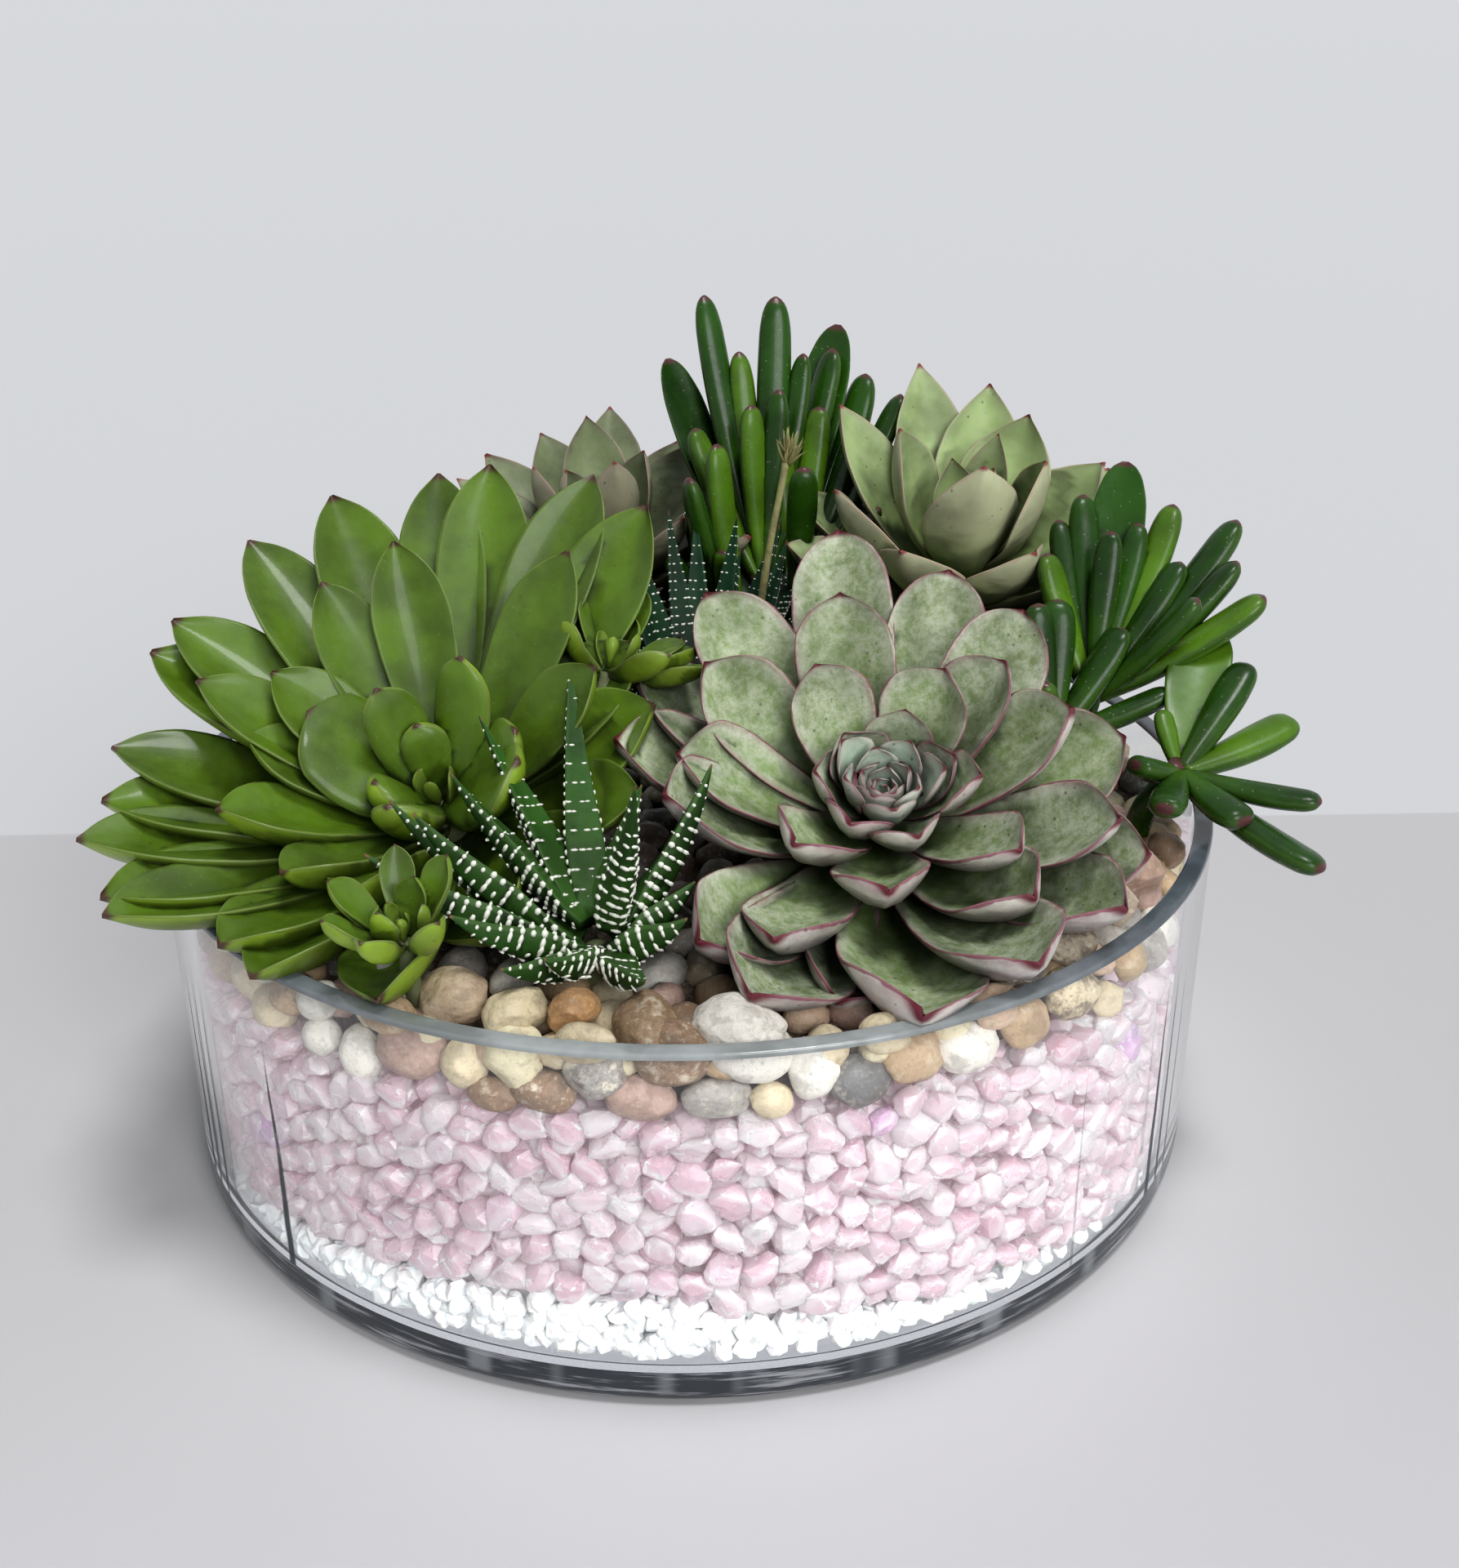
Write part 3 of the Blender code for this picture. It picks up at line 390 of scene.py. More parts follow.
class Leaves:
    """Collects the leaves of one piece and makes them one mesh with their attributes."""

    def __init__(self):
        self.points, self.faces, self.marks, self.count, self.bodies = [], [], {}, 0, []

    def add(self, rings, marks, place, **constants):
        steps, around = rings.shape[:2]
        flat = place(rings.reshape(-1, 3))
        self.bodies.append(flat.reshape(rings.shape))
        ends = np.array([flat[:around].mean(0), flat[-around:].mean(0)])
        self.points += [flat, ends]
        first, last = self.count + steps * around, self.count + steps * around + 1
        for r in range(steps - 1):
            for i in range(around):
                a, b = self.count + r * around + i, self.count + r * around + (i + 1) % around
                self.faces.append((a, b, b + around, a + around))
        for i in range(around):
            j = (i + 1) % around
            self.faces.append((first, self.count + j, self.count + i))
            top = self.count + (steps - 1) * around
            self.faces.append((last, top + i, top + j))
        for key, values in marks.items():
            tail = [values.reshape(-1)[0], values.reshape(-1)[-1]]
            self.marks.setdefault(key, []).append(np.concatenate([values.reshape(-1), tail]))
        for key, value in constants.items():
            self.marks.setdefault(key, []).append(np.full(steps * around + 2, float(value)))
        self.count += steps * around + 2

    def piece(self, name, material):
        points = np.concatenate(self.points) * MM
        body = mesh_object(name, points, self.faces, True)
        for key, values in self.marks.items():
            body.data.attributes.new(key, "FLOAT", "POINT").data.foreach_set(
                "value", np.concatenate(values).astype(np.float32))
        body.data.materials.append(material)
        return body


def leaning(centre, tilt):
    """Carries points in a plant's own frame to the dish's frame. tilt is (angle, towards)."""
    towards = math.radians(tilt[1])
    turn = np.array(Matrix.Rotation(math.radians(tilt[0]), 3,
                                    Vector((-math.sin(towards), math.cos(towards), 0.0))))
    return lambda p: p @ turn.T + np.array(centre)


def rooted(azimuth, distance, height, place):
    """Carries a leaf's points to its root on the plant, then to the dish."""
    c, s = math.cos(math.radians(azimuth)), math.sin(math.radians(azimuth))

    def put(p):
        q = p + np.array([distance, 0.0, 0.0])
        turned = np.stack([q[:, 0] * c - q[:, 1] * s, q[:, 0] * s + q[:, 1] * c,
                           q[:, 2] + height], -1)
        return place(turned)
    return put


def chance(*seeds):
    """A fixed number between -1 and 1 for these seeds."""
    return math.modf(math.sin(12.9898 * seeds[0] + 78.233 * (seeds[1] if len(seeds) > 1 else 0.0)
                              + 37.719 * (seeds[2] if len(seeds) > 2 else 0.0)) * 43758.5453)[0]


# ---------------------------------------------------------------- plants

# A whorl is (node ending, height, root distance, form, width, thickness, bend, front curl, roll,
# leaves), and a leaf is (azimuth, length, rise of its chord), with its own width where it differs.
# heart gives the small leaves in the middle: (count, longest, shortest, width, lowest and
# highest rise).
PINK = {
    "name": "pink_edged_echeveria", "centre": (41, -52, 96), "tilt": (28, 270), "front": 270,
    "whorls": [
        ("heart_leaves", 2.0, 1.6, SPOON, 15.5, 2.4, 40, 10, 3,
         [(350, 26, 42), (18, 20, 46), (285, 24, 42), (72, 22, 48), (124, 19, 48), (178, 19, 48),
          (235, 20, 44), (45, 12, 62), (152, 12, 62)]),
        ("inner_leaves", -1.3, 2.6, SPOON, 20, 3.8, 34, 18, 6,
         [(118, 35, 38), (58, 35, 38), (318, 40, 34), (263, 40, 34), (222, 32, 34)]),
        ("middle_leaves", -5.0, 3.6, SPOON, 22, 4.6, 30, 28, 14,
         [(98, 52, 30), (143, 51, 30), (47, 44, 32), (17, 48, 30), (342, 52, 28), (306, 46, 27),
          (240, 52, 26), (171, 47, 28), (190, 50, 28, 25)]),
        ("outer_leaves", -9.0, 4.7, SPOON, 24, 5.0, 24, 26, 14,
         [(96, 72, 20), (123, 66, 20), (149, 61, 20), (165, 59, 20), (73, 64, 20), (51, 61, 20),
          (12, 55, 20), (341, 56, 20), (320, 58, 23), (296, 61, 29, 28), (270, 64, 25, 30),
          (244, 65, 24, 28), (226, 60, 24), (257, 52, 20)]),
    ],
    "heart": (17, 19, 7, 12.5, 54, 84)}
GREEN = {
    "name": "green_echeveria", "centre": (-55, -45, 98), "tilt": (25, 245), "front": 245, "twist": 12,
    "whorls": [
        ("inner_leaves", -1.3, 2.3, PLUMP, 16, 7.6, 42, 10, 0,
         [(116, 30, 64, 14), (148, 34, 38, 28), (52, 34, 56, 14), (8, 26, 42, 18), (338, 29, 38, 19),
          (250, 22, 54, 13), (200, 18, 60, 12), (90, 20, 72, 11)]),
        ("middle_leaves", -5.0, 3.7, LANCE, 18, 5.6, 22, 6, 0,
         [(52, 62, 33), (93, 62, 36), (117, 58, 36), (153, 59, 33), (141, 47, 38), (164, 43, 34),
          (192, 47, 32), (227, 41, 31), (250, 41, 31), (20, 46, 34)]),
        ("outer_leaves", -9.0, 5.0, LANCE, 22, 5.8, 16, 4, 0,
         [(264, 64, 22), (240, 61, 24), (228, 59, 24), (212, 72, 24), (202, 71, 22), (190, 74, 21),
          (177, 71, 19), (167, 73, 20), (146, 78, 22), (138, 79, 24), (122, 84, 25), (105, 85, 26),
          (88, 83, 27), (75, 84, 27), (61, 84, 26), (46, 82, 24), (32, 54, 22), (10, 50, 20),
          (345, 46, 20), (320, 44, 20), (290, 48, 20)]),
    ],
    "heart": (3, 11, 8, 7, 70, 84)}
PALE = {
    "name": "pale_echeveria", "centre": (70, 40, 122), "tilt": (15, 270), "front": 265,
    "whorls": [
        ("heart_leaves", 2.0, 1.6, OVATE, 13, 2.4, 40, 4, 0,
         [(100, 27, 70), (57, 34, 66), (40, 26, 74), (200, 20, 74), (300, 19, 74)]),
        ("inner_leaves", -1.3, 2.6, OVATE, 24, 3.2, 46, 6, 4,
         [(52, 45, 47), (150, 41, 66), (275, 43, 72, 25), (345, 40, 66)]),
        ("middle_leaves", -5.0, 3.6, OVATE, 23, 3.6, 36, 10, 8,
         [(102, 59, 44), (74, 55, 42), (136, 54, 42), (190, 44, 46), (18, 47, 38), (235, 38, 44),
          (300, 36, 44)]),
        ("outer_leaves", -9.0, 4.3, OVATE, 23, 3.8, 34, 10, 9,
         [(148, 47, 23), (36, 53, 24), (62, 55, 24), (10, 42, 24), (338, 40, 28), (310, 38, 24),
          (262, 37, 24), (215, 40, 24), (180, 44, 23), (88, 56, 26), (120, 54, 24)]),
    ],
    "heart": (8, 17, 8, 10, 62, 82)}
GREY = {
    "name": "grey_echeveria", "centre": (-22, 65, 120), "tilt": (12, 250), "front": 250,
    "whorls": [
        ("inner_leaves", -1.3, 2.3, OVATE, 17, 3.0, 44, 4, 0,
         [(95, 38, 62), (200, 34, 66), (295, 38, 68), (30, 30, 66), (150, 26, 74)]),
        ("middle_leaves", -5.0, 3.3, OVATE, 20, 3.4, 36, 8, 8,
         [(87, 46, 42), (118, 42, 42), (40, 40, 40), (182, 40, 42), (262, 36, 46), (322, 36, 42),
          (220, 36, 42)]),
        ("outer_leaves", -9.0, 4.0, OVATE, 20, 3.6, 30, 8, 9,
         [(130, 52, 26), (148, 50, 25), (60, 48, 25), (205, 44, 24), (240, 42, 24), (285, 40, 24),
          (340, 42, 24), (15, 42, 25), (92, 50, 25), (176, 46, 24), (318, 44, 8, 24)]),
    ],
    "heart": (8, 18, 8, 10, 62, 82)}
OFFSET_FRONT = {
    "name": "green_offset_front", "centre": (-55, -99, 94), "tilt": (10, 250), "front": 250,
    "whorls": [
        ("leaves", 0.0, 1.7, LANCE, 7.5, 2.6, 24, 4, 0,
         [(250, 18, 40), (205, 17, 42), (160, 18, 44), (100, 18, 52), (40, 18, 50), (310, 18, 44),
          (70, 12, 70), (220, 11, 70)]),
    ],
    "heart": (4, 9, 5, 4, 70, 82)}
OFFSET_RIGHT = {
    "name": "green_offset_right", "centre": (-18, -27, 121), "tilt": (20, 60), "front": 250,
    "whorls": [
        ("leaves", 0.0, 1.9, LANCE, 9.5, 2.8, 20, 4, 0,
         [(75, 25, 52), (35, 20, 28), (10, 20, 22), (345, 21, 14), (115, 20, 50), (310, 19, 20),
          (190, 14, 50), (50, 14, 66)]),
    ],
    "heart": (4, 10, 6, 5, 66, 80)}
HAWORTHIA_FRONT = {
    "name": "front_haworthia", "centre": (-19, -88, 92), "tilt": (0, 270), "front": 270, "turn": 48,
    "whorls": [
        ("inner_leaves", -0.5, 2.2, TAPER, 8.0, 4.6, 10, 0, 0,
         [(100, 60, 36), (121, 53, 32), (325, 34, 76), (142, 42, 32), (72, 30, 40)]),
        ("outer_leaves", -4.6, 3.2, TAPER, 9.0, 4.8, 22, 0, 0,
         [(160, 48, 30), (180, 46, 26), (205, 30, 26), (38, 40, 50), (228, 24, 12), (296, 22, 12),
          (340, 18, 26), (20, 20, 28), (170, 42, 38), (248, 20, 24)]),
    ]}
HAWORTHIA_BACK = {
    "name": "back_haworthia", "centre": (2, 4, 101), "tilt": (0, 270), "front": 270,
    "whorls": [
        ("inner_leaves", -0.5, 2.2, TAPER, 7.6, 4.4, 14, 0, 0,
         [(102, 50, 52), (87, 49, 52), (66, 40, 50), (250, 26, 62)]),
        ("outer_leaves", -4.6, 3.2, TAPER, 8.0, 4.6, 22, 0, 0,
         [(172, 46, 60), (152, 48, 68), (126, 48, 64, 9.5), (186, 38, 54), (35, 44, 56),
          (46, 50, 60, 9), (105, 70, 24, 14), (130, 58, 28, 12), (84, 72, 24, 14), (63, 70, 24, 14),
          (68, 50, 64), (14, 38, 48), (128, 40, 42), (52, 52, 42), (175, 32, 34), (215, 26, 36),
          (300, 26, 36), (345, 30, 34), (20, 34, 36)]),
    ]}

# Crassula clusters: (node ending, branch points, branch radius, leaves), and a leaf is
# (azimuth, length, rise of its chord, width)
CRASSULA_BACK = {
    "name": "back_crassula",
    "clusters": [
        ("tall_leaves", [(20, 50, 66), (20, 51, 96), (20, 50, 118)], 4.0,
         [(112, 78, 62, 8), (80, 76, 65, 9), (126, 66, 53, 13), (98, 62, 63, 7), (66, 62, 62, 7),
          (60, 75, 53, 14), (58, 67, 55, 9), (140, 44, 60, 8), (74, 50, 74, 7), (104, 46, 76, 7)]),
        ("side_leaves", [(29, 54, 66), (29, 53, 92), (28, 51, 112)], 3.4,
         [(56, 66, 54, 9), (38, 62, 54, 8), (356, 34, 50, 7), (324, 34, 54, 7),
          (285, 40, 77, 8), (70, 52, 66, 8), (46, 48, 60, 7), (100, 44, 70, 7)]),
        ("front_leaves", [(14, 45, 66), (14, 43, 88), (14, 40, 104)], 3.2,
         [(120, 52, 76, 8), (200, 48, 74, 8), (240, 30, 72, 6), (160, 30, 50, 8), (140, 38, 66, 7),
          (92, 40, 50, 14)]),
    ]}
CRASSULA_RIGHT = {
    "name": "right_crassula",
    "clusters": [
        ("upper_leaves", [(93, 2, 66), (94, 0, 88), (97, -3, 106)], 4.0,
         [(71, 62, 50, 14), (86, 52, 52, 8), (98, 46, 50, 7), (50, 54, 46, 8), (31, 57, 40, 9),
          (60, 46, 50, 7), (16, 47, 40, 9), (2, 46, 32, 9), (38, 40, 44, 8),
          (120, 36, 58, 8), (74, 40, 64, 7), (350, 34, 50, 8)]),
        ("side_leaves", [(84, -13, 66), (85, -13, 86), (86, -13, 99)], 3.2,
         [(80, 34, 56, 9), (40, 32, 44, 9), (8, 30, 20, 8), (130, 24, 50, 8), (165, 26, 56, 8),
          (200, 24, 52, 7), (105, 32, 68, 8), (240, 20, 62, 7)]),
        ("lower_leaves", [(104, -22, 66), (106, -26, 84), (112, -31, 98)], 3.4,
         [(70, 44, 32, 15), (48, 34, 32, 9), (25, 33, 12, 10), (333, 31, -2, 7), (311, 39, -16, 10),
          (298, 21, -10, 9), (246, 20, 0, 9), (200, 13, 20, 8), (65, 20, 20, 6), (100, 16, 40, 5)]),
    ]}

# Stems: node, (x, y) in the soil, radius
STEMS = {"pink_edged_echeveria": ((42, -38), 4.4), "green_echeveria": ((-50, -36), 4.8),
         "pale_echeveria": ((73, 45), 4.0), "grey_echeveria": ((-20, 68), 3.7),
         "green_offset_front": ((-50, -94), 1.9), "green_offset_right": ((-26, -34), 2.1),
         "front_haworthia": ((-19, -86), 2.9), "back_haworthia": ((2, 4), 2.9)}


def settle(piece, *replaced):
    """The piece stands for these CAD nodes: it goes under the root body, and they are hidden."""
    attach(piece, "root")
    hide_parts(*replaced)


def plant_rosette(plant, material, warts=None):
    """The whorls of one rosette, one piece each. The first one also holds the heart's leaves."""
    place = leaning(plant["centre"], plant["tilt"])
    top = max(whorl[1] for whorl in plant["whorls"])
    for ending, height, distance, form, width, thick, bend, curl, roll, leaves in plant["whorls"]:
        made = Leaves()
        age = (height + 9.0) / 14.0
        seed = len(plant["name"]) + height
        for k, (azimuth, length, rise, *own_width) in enumerate(leaves):
            facing = max(0.0, math.cos(math.radians(azimuth - plant["front"])))
            near_side = plant.get("twist", 0.0) - plant.get("turn", 0.0) * math.cos(math.radians(azimuth))
            luck = chance(seed, k)
            broad = own_width[0] if own_width else width * (1 + 0.07 * luck)
            rings, marks = leaf_body(
                form, length * (1 + 0.05 * facing * (curl > 20)), broad, thick, rise,
                bend + 7 * chance(seed, k, 4), curl * (0.25 + 0.75 * facing ** 0.6),
                0.07 * chance(seed, k, 1), roll * chance(k, seed, 5) + 6 * chance(k, seed) + near_side,
                0.045 * chance(seed, k, 2),
                0.8 * chance(seed, k, 3), ripple=0.012 * (1 + chance(seed, k, 6)))
            made.add(rings, marks, rooted(azimuth, distance, height, place), tone=luck, age=age * 0.7)
        if height == top and "heart" in plant:
            count, longest, shortest, wide, low, high = plant["heart"]
            for k in range(count):
                share = k / (count - 1)
                rings, marks = leaf_body(
                    form, longest + (shortest - longest) * share, wide * (1 - 0.5 * share),
                    1.9 - 0.8 * share, low + (high - low) * share, 34, 4, steps=14, around=12)
                made.add(rings, marks, rooted(k * GOLDEN, 1.6 - 1.2 * share, height + 0.6 + share, place),
                         tone=chance(k, 7), age=0.75 + 0.25 * share)
        piece = made.piece(f"{plant['name']}_{ending}_skin", material)
        if warts:
            piece = one_piece(piece.name, [piece, warts.cover(made.bodies)])
        settle(piece, f"{plant['name']}_{ending}")


def find_hollows(pieces):
    """Stores on each leaf's points how free their outlook is, which the leaf paint uses for painted shade in
    the hollows between leaves.
    A point looks out as far as sight in each of its ways, over a bed that blocks what is below."""
    count, sight, off_skin, bed, half = 22, 32.0, 0.2, 79.0, 130.0
    points, faces = [(-half, -half, bed), (half, -half, bed), (half, half, bed),
                     (-half, half, bed)], [(0, 1, 2, 3)]
    for piece in pieces:
        first = len(points)
        points += [tuple(vert.co / MM) for vert in piece.data.vertices]
        faces += [tuple(first + v for v in face.vertices) for face in piece.data.polygons]
    tree = BVHTree.FromPolygons(points, faces)
    ways = []
    for k in range(count):
        up = 1 - 2 * (k + 0.5) / count
        wide, around = math.sqrt(1 - up * up), math.radians(k * GOLDEN)
        ways.append(Vector((wide * math.cos(around), wide * math.sin(around), up)))
    for piece in pieces:
        mesh = piece.data
        leaf = mesh.attributes["margin"].data
        free = []
        for vert in mesh.vertices:
            seen = total = 0.0
            if leaf[vert.index].value > 0:
                start = vert.co / MM + vert.normal * off_skin
                for way in ways:
                    share = vert.normal.dot(way)
                    if share > 0.1:
                        total += share
                        if tree.ray_cast(start, way, sight)[0] is None:
                            seen += share
            free.append(seen / total if total else 1.0)
        mesh.attributes.new("open", "FLOAT", "POINT").data.foreach_set("value", free)


def curve_through(route, steps):
    """Points of a smooth curve through the route's points, and the share of its way at each."""
    p = np.array(route, float)
    p = np.vstack([2 * p[0] - p[1], p, 2 * p[-1] - p[-2]])
    share = np.linspace(0, len(route) - 1, steps)
    k = np.minimum(share.astype(int), len(route) - 2)
    s = (share - k)[:, None]
    a, b, c, d = (p[k + i] for i in range(4))
    return 0.5 * (2 * b + (c - a) * s + (2 * a - 5 * b + 4 * c - d) * s**2
                  + (3 * b - a - 3 * c + d) * s**3), np.linspace(0, 1, steps)


def tube(route, radii, steps=24, around=18, ridges=0.0, knots=0):
    """Rings of a round stem through the route. radii is a table of radius along its way."""
    middle, share = curve_through(route, steps)
    along = np.gradient(middle, axis=0)
    along /= np.linalg.norm(along, axis=1)[:, None]
    side = np.cross(along, np.array([0.0, 1.0, 0.0]))
    side /= np.linalg.norm(side, axis=1)[:, None]
    other = np.cross(along, side)
    phi = 2 * np.pi * np.arange(around) / around
    r = smooth_table(radii, share)[:, None] * (1 + ridges * np.cos(3 * phi)[None, :])
    if knots:
        r = r * (1 + 0.10 * np.clip(np.cos(2 * np.pi * knots * share), 0, 1) ** 8)[:, None]
    rings = (middle[:, None, :] + side[:, None, :] * (r * np.cos(phi))[:, :, None]
             + other[:, None, :] * (r * np.sin(phi))[:, :, None])
    flat = np.zeros_like(r)
    return rings, {"along": share[:, None] + flat, "upper": np.sin(phi)[None, :] + flat,
                   "margin": flat + 50.0}


class Warts:
    """White warts on the under sides and margins of haworthia leaves, laid by a Geometry Nodes
    tree that turns each bead's Z outward and stretches it to its own size."""

    def __init__(self, material, gap, columns, size, teeth, above):
        """gap lies between rows of columns beads. above is the share that the upper side gets."""
        self.gap, self.columns, self.size, self.teeth, self.above = gap, columns, size, teeth, above
        self.tree = bpy.data.node_groups.new("lay_warts", "GeometryNodeTree")
        face = self.tree.interface
        face.new_socket("Geometry", in_out="INPUT", socket_type="NodeSocketGeometry")
        face.new_socket("Geometry", in_out="OUTPUT", socket_type="NodeSocketGeometry")
        new, link = self.tree.nodes.new, self.tree.links.new
        given, out = new("NodeGroupInput"), new("NodeGroupOutput")
        bead, laid = new("GeometryNodeMeshIcoSphere"), new("GeometryNodeInstanceOnPoints")
        bead.inputs["Radius"].default_value = 1.0
        bead.inputs["Subdivisions"].default_value = 1
        read = {}
        for name in ("outward", "crosswise", "grain"):
            read[name] = new("GeometryNodeInputNamedAttribute")
            read[name].data_type = "FLOAT_VECTOR"
            read[name].inputs["Name"].default_value = name
        upright, aligned = (new("FunctionNodeAlignRotationToVector") for _ in range(2))
        upright.axis, aligned.axis, aligned.pivot_axis = "Z", "X", "Z"
        link(read["outward"].outputs[0], upright.inputs["Vector"])
        link(upright.outputs[0], aligned.inputs["Rotation"])
        link(read["crosswise"].outputs[0], aligned.inputs["Vector"])
        link(given.outputs[0], laid.inputs["Points"])
        link(bead.outputs["Mesh"], laid.inputs["Instance"])
        link(aligned.outputs[0], laid.inputs["Rotation"])
        link(read["grain"].outputs[0], laid.inputs["Scale"])
        real, smooth, painted = (new(f"GeometryNode{kind}") for kind in
                                 ("RealizeInstances", "SetShadeSmooth", "SetMaterial"))
        painted.inputs["Material"].default_value = material
        for a, b in ((laid, real), (real, smooth), (smooth, painted), (painted, out)):
            link(a.outputs[0], b.inputs[0])

    def cover(self, bodies):
        """The warts of these leaves, as one mesh object."""
        spots, outward, crosswise, grain = [], [], [], []
        for n, rings in enumerate(bodies):
            steps, around = rings.shape[:2]
            way = np.concatenate([[0], np.cumsum(np.linalg.norm(
                np.diff(rings.mean(1), axis=0), axis=1))])
            middle = rings.mean(1)
            for b in range(int(way[-1] * 0.97 / self.gap)):
                reach = (b + 0.6) * self.gap
                k = int(np.clip(np.searchsorted(way, reach) - 1, 0, steps - 2))
                share = (reach - way[k]) / (way[k + 1] - way[k])
                ring = rings[k] * (1 - share) + rings[k + 1] * share
                core = middle[k] * (1 - share) + middle[k + 1] * share
                narrow = np.linalg.norm(ring[0] - ring[around // 2]) / 9.0
                picks = max(2, int(round(self.columns * min(1.0, narrow * 1.15))))
                for c in range(2 * picks):
                    j = (c + 0.5 + 0.2 * chance(b, c, n)) / picks * around / 2 + around / 2 - 0.5
                    i, f = int(j) % around, j - int(j)
                    p = ring[i] * (1 - f) + ring[(i + 1) % around] * f
                    q = ring[(i + 1) % around] - ring[i - 1]
                    out = np.cross(q, rings[k + 1].mean(0) - rings[k].mean(0))
                    out *= np.sign(np.dot(out, p - core)) / (np.linalg.norm(out) + 1e-9)
                    rim, upper = c in (0, picks - 1), c >= picks
                    luck = 0.5 + 0.5 * chance(n, b, c)
                    if luck > (self.above if upper else 0.97 if rim else 0.86):
                        continue
                    scale = min(1.0, 0.45 + narrow * 0.6) * (1 + 0.2 * chance(c, b, n))
                    size = np.array(self.teeth if rim else self.size) * scale
                    size *= 0.6 if upper and self.above < 0.5 else 1.0
                    spots.append(p + out * size[2] * 0.1)
                    outward.append(out)
                    crosswise.append(q)
                    grain.append(size)
        points = mesh_object("wart_points", np.array(spots) * MM, [])
        for name, values in (("outward", outward), ("crosswise", crosswise),
                             ("grain", np.array(grain) * MM)):
            points.data.attributes.new(name, "FLOAT_VECTOR", "POINT").data.foreach_set(
                "vector", np.array(values, np.float32).reshape(-1))
        modifier = points.modifiers.new("warts", "NODES")
        modifier.node_group = self.tree
        mesh = bpy.data.meshes.new_from_object(
            points.evaluated_get(bpy.context.evaluated_depsgraph_get()))
        bpy.data.objects.remove(points)
        body = bpy.data.objects.new("warts", mesh)
        bpy.context.scene.collection.objects.link(body)
        return body


def same_place(p):
    """Leaves points that are already in the dish's frame where they are."""
    return p


def plant_stem(plant, material):
    """A bare stem from the soil to the underside of the rosette."""
    (foot_x, foot_y), radius = STEMS[plant["name"]]
    place = leaning(plant["centre"], plant["tilt"])
    crown = min(whorl[1] for whorl in plant["whorls"]) - 1.0 if "haworthia" in plant["name"] else 0.0
    top, neck = (tuple(place(np.array([[0.0, 0.0, z]]))[0]) for z in (crown, -14.0))
    made = Leaves()
    route = [(foot_x, foot_y, 66), (foot_x, foot_y, 74), neck, top]
    made.add(*tube(route, [(0, 1.15 * radius), (0.3, radius), (0.8, radius), (1, 0.7 * radius)],
                   30, 20, 0.04, 7), same_place, tone=0.0, age=0.0)
    settle(made.piece(f"{plant['name']}_stem_skin", material), f"{plant['name']}_stem")


def plant_crassula(plant, material):
    """Finger leaves and paddle leaves in clusters at the heads of short branches."""
    for c, (ending, route, radius, leaves) in enumerate(plant["clusters"]):
        made = Leaves()
        made.add(*tube(route, [(0, radius), (0.7, 0.85 * radius), (1, 0.75 * radius)], 18, 18, 0.05),
                 same_place, tone=-0.6, age=0.0)
        place = leaning(route[-1], (0, 0))
        for k, (azimuth, length, rise, width) in enumerate(leaves):
            rings, marks = leaf_body(
                FINGER if width < 12 else PADDLE, length, width * (1 + 0.05 * chance(c, k)),
                min(6.0, 0.70 * width) if width < 12 else 4.6, rise, 14 + 6 * chance(k, c), 0.0, 0.0,
                14 * chance(c, k, 2), 0.02 * chance(k, c, 5))
            made.add(rings, marks, rooted(azimuth, 0.2 * radius, -0.6 * radius, place),
                     tone=chance(c, k, 9), age=0.72 if chance(c, k, 4) > 0.45 else 0.2)
        settle(made.piece(f"{plant['name']}_{ending}_skin", material), f"{plant['name']}_{ending}")


# ---------------------------------------------------------------- stones, chips and gravel

# River pebbles that lie on top: (node, (x, y), (length, width, thickness), turn, colour, mottle)
PEBBLES = [
    ("tan_pebble", (-47, -98), (15, 12, 10), 150, (0.44, 0.33, 0.22), 0.4),
    ("grey_pebble", (-60, -92), (13, 11, 8), 140, (0.30, 0.29, 0.26), 0.4),
    ("cream_pebble", (-34, -105), (14, 11, 9), 60, (0.66, 0.56, 0.36), 0.2),
    ("orange_pebble", (-23, -106), (11, 9, 8), 60, (0.44, 0.24, 0.10), 0.4),
    ("brown_pebble", (-9, -110), (17, 12, 10), 100, (0.25, 0.16, 0.09), 0.5),
    ("white_pebble", (8, -112), (17, 14, 10), 0, (0.74, 0.71, 0.64), 0.15),
    ("dark_pebble", (64, -91), (15, 12, 9), 30, (0.13, 0.12, 0.11), 0.6),
    ("mottled_pebble", (76, -82), (16, 12, 9), 130, (0.42, 0.36, 0.27), 0.8),
    ("pink_pebble", (99, -50), (14, 11, 9), 60, (0.50, 0.33, 0.25), 0.3),
    ("rim_pebble", (89, -67), (13, 10, 9), 130, (0.58, 0.48, 0.36), 0.4),
    ("back_pebble_1", (-76, 80), (16, 13, 10), 20, (0.55, 0.46, 0.32), 0.4),
    ("back_pebble_2", (18, 108), (17, 13, 10), 10, (0.68, 0.63, 0.54), 0.2),
    ("back_pebble_3", (-102, 36), (15, 12, 9), 75, (0.36, 0.26, 0.16), 0.5),
    ("back_pebble_4", (90, 66), (15, 13, 9), 120, (0.46, 0.41, 0.33), 0.6),
]

CREAM, IVORY, STRAW = (0.64, 0.54, 0.36), (0.76, 0.73, 0.66), (0.70, 0.63, 0.43)
TAN, BROWN, OCHRE = (0.46, 0.32, 0.19), (0.24, 0.15, 0.09), (0.42, 0.28, 0.13)
ROSY, PEACH = (0.42, 0.28, 0.23), (0.58, 0.41, 0.29)
GREY_STONE, SLATE = (0.33, 0.31, 0.28), (0.13, 0.13, 0.13)

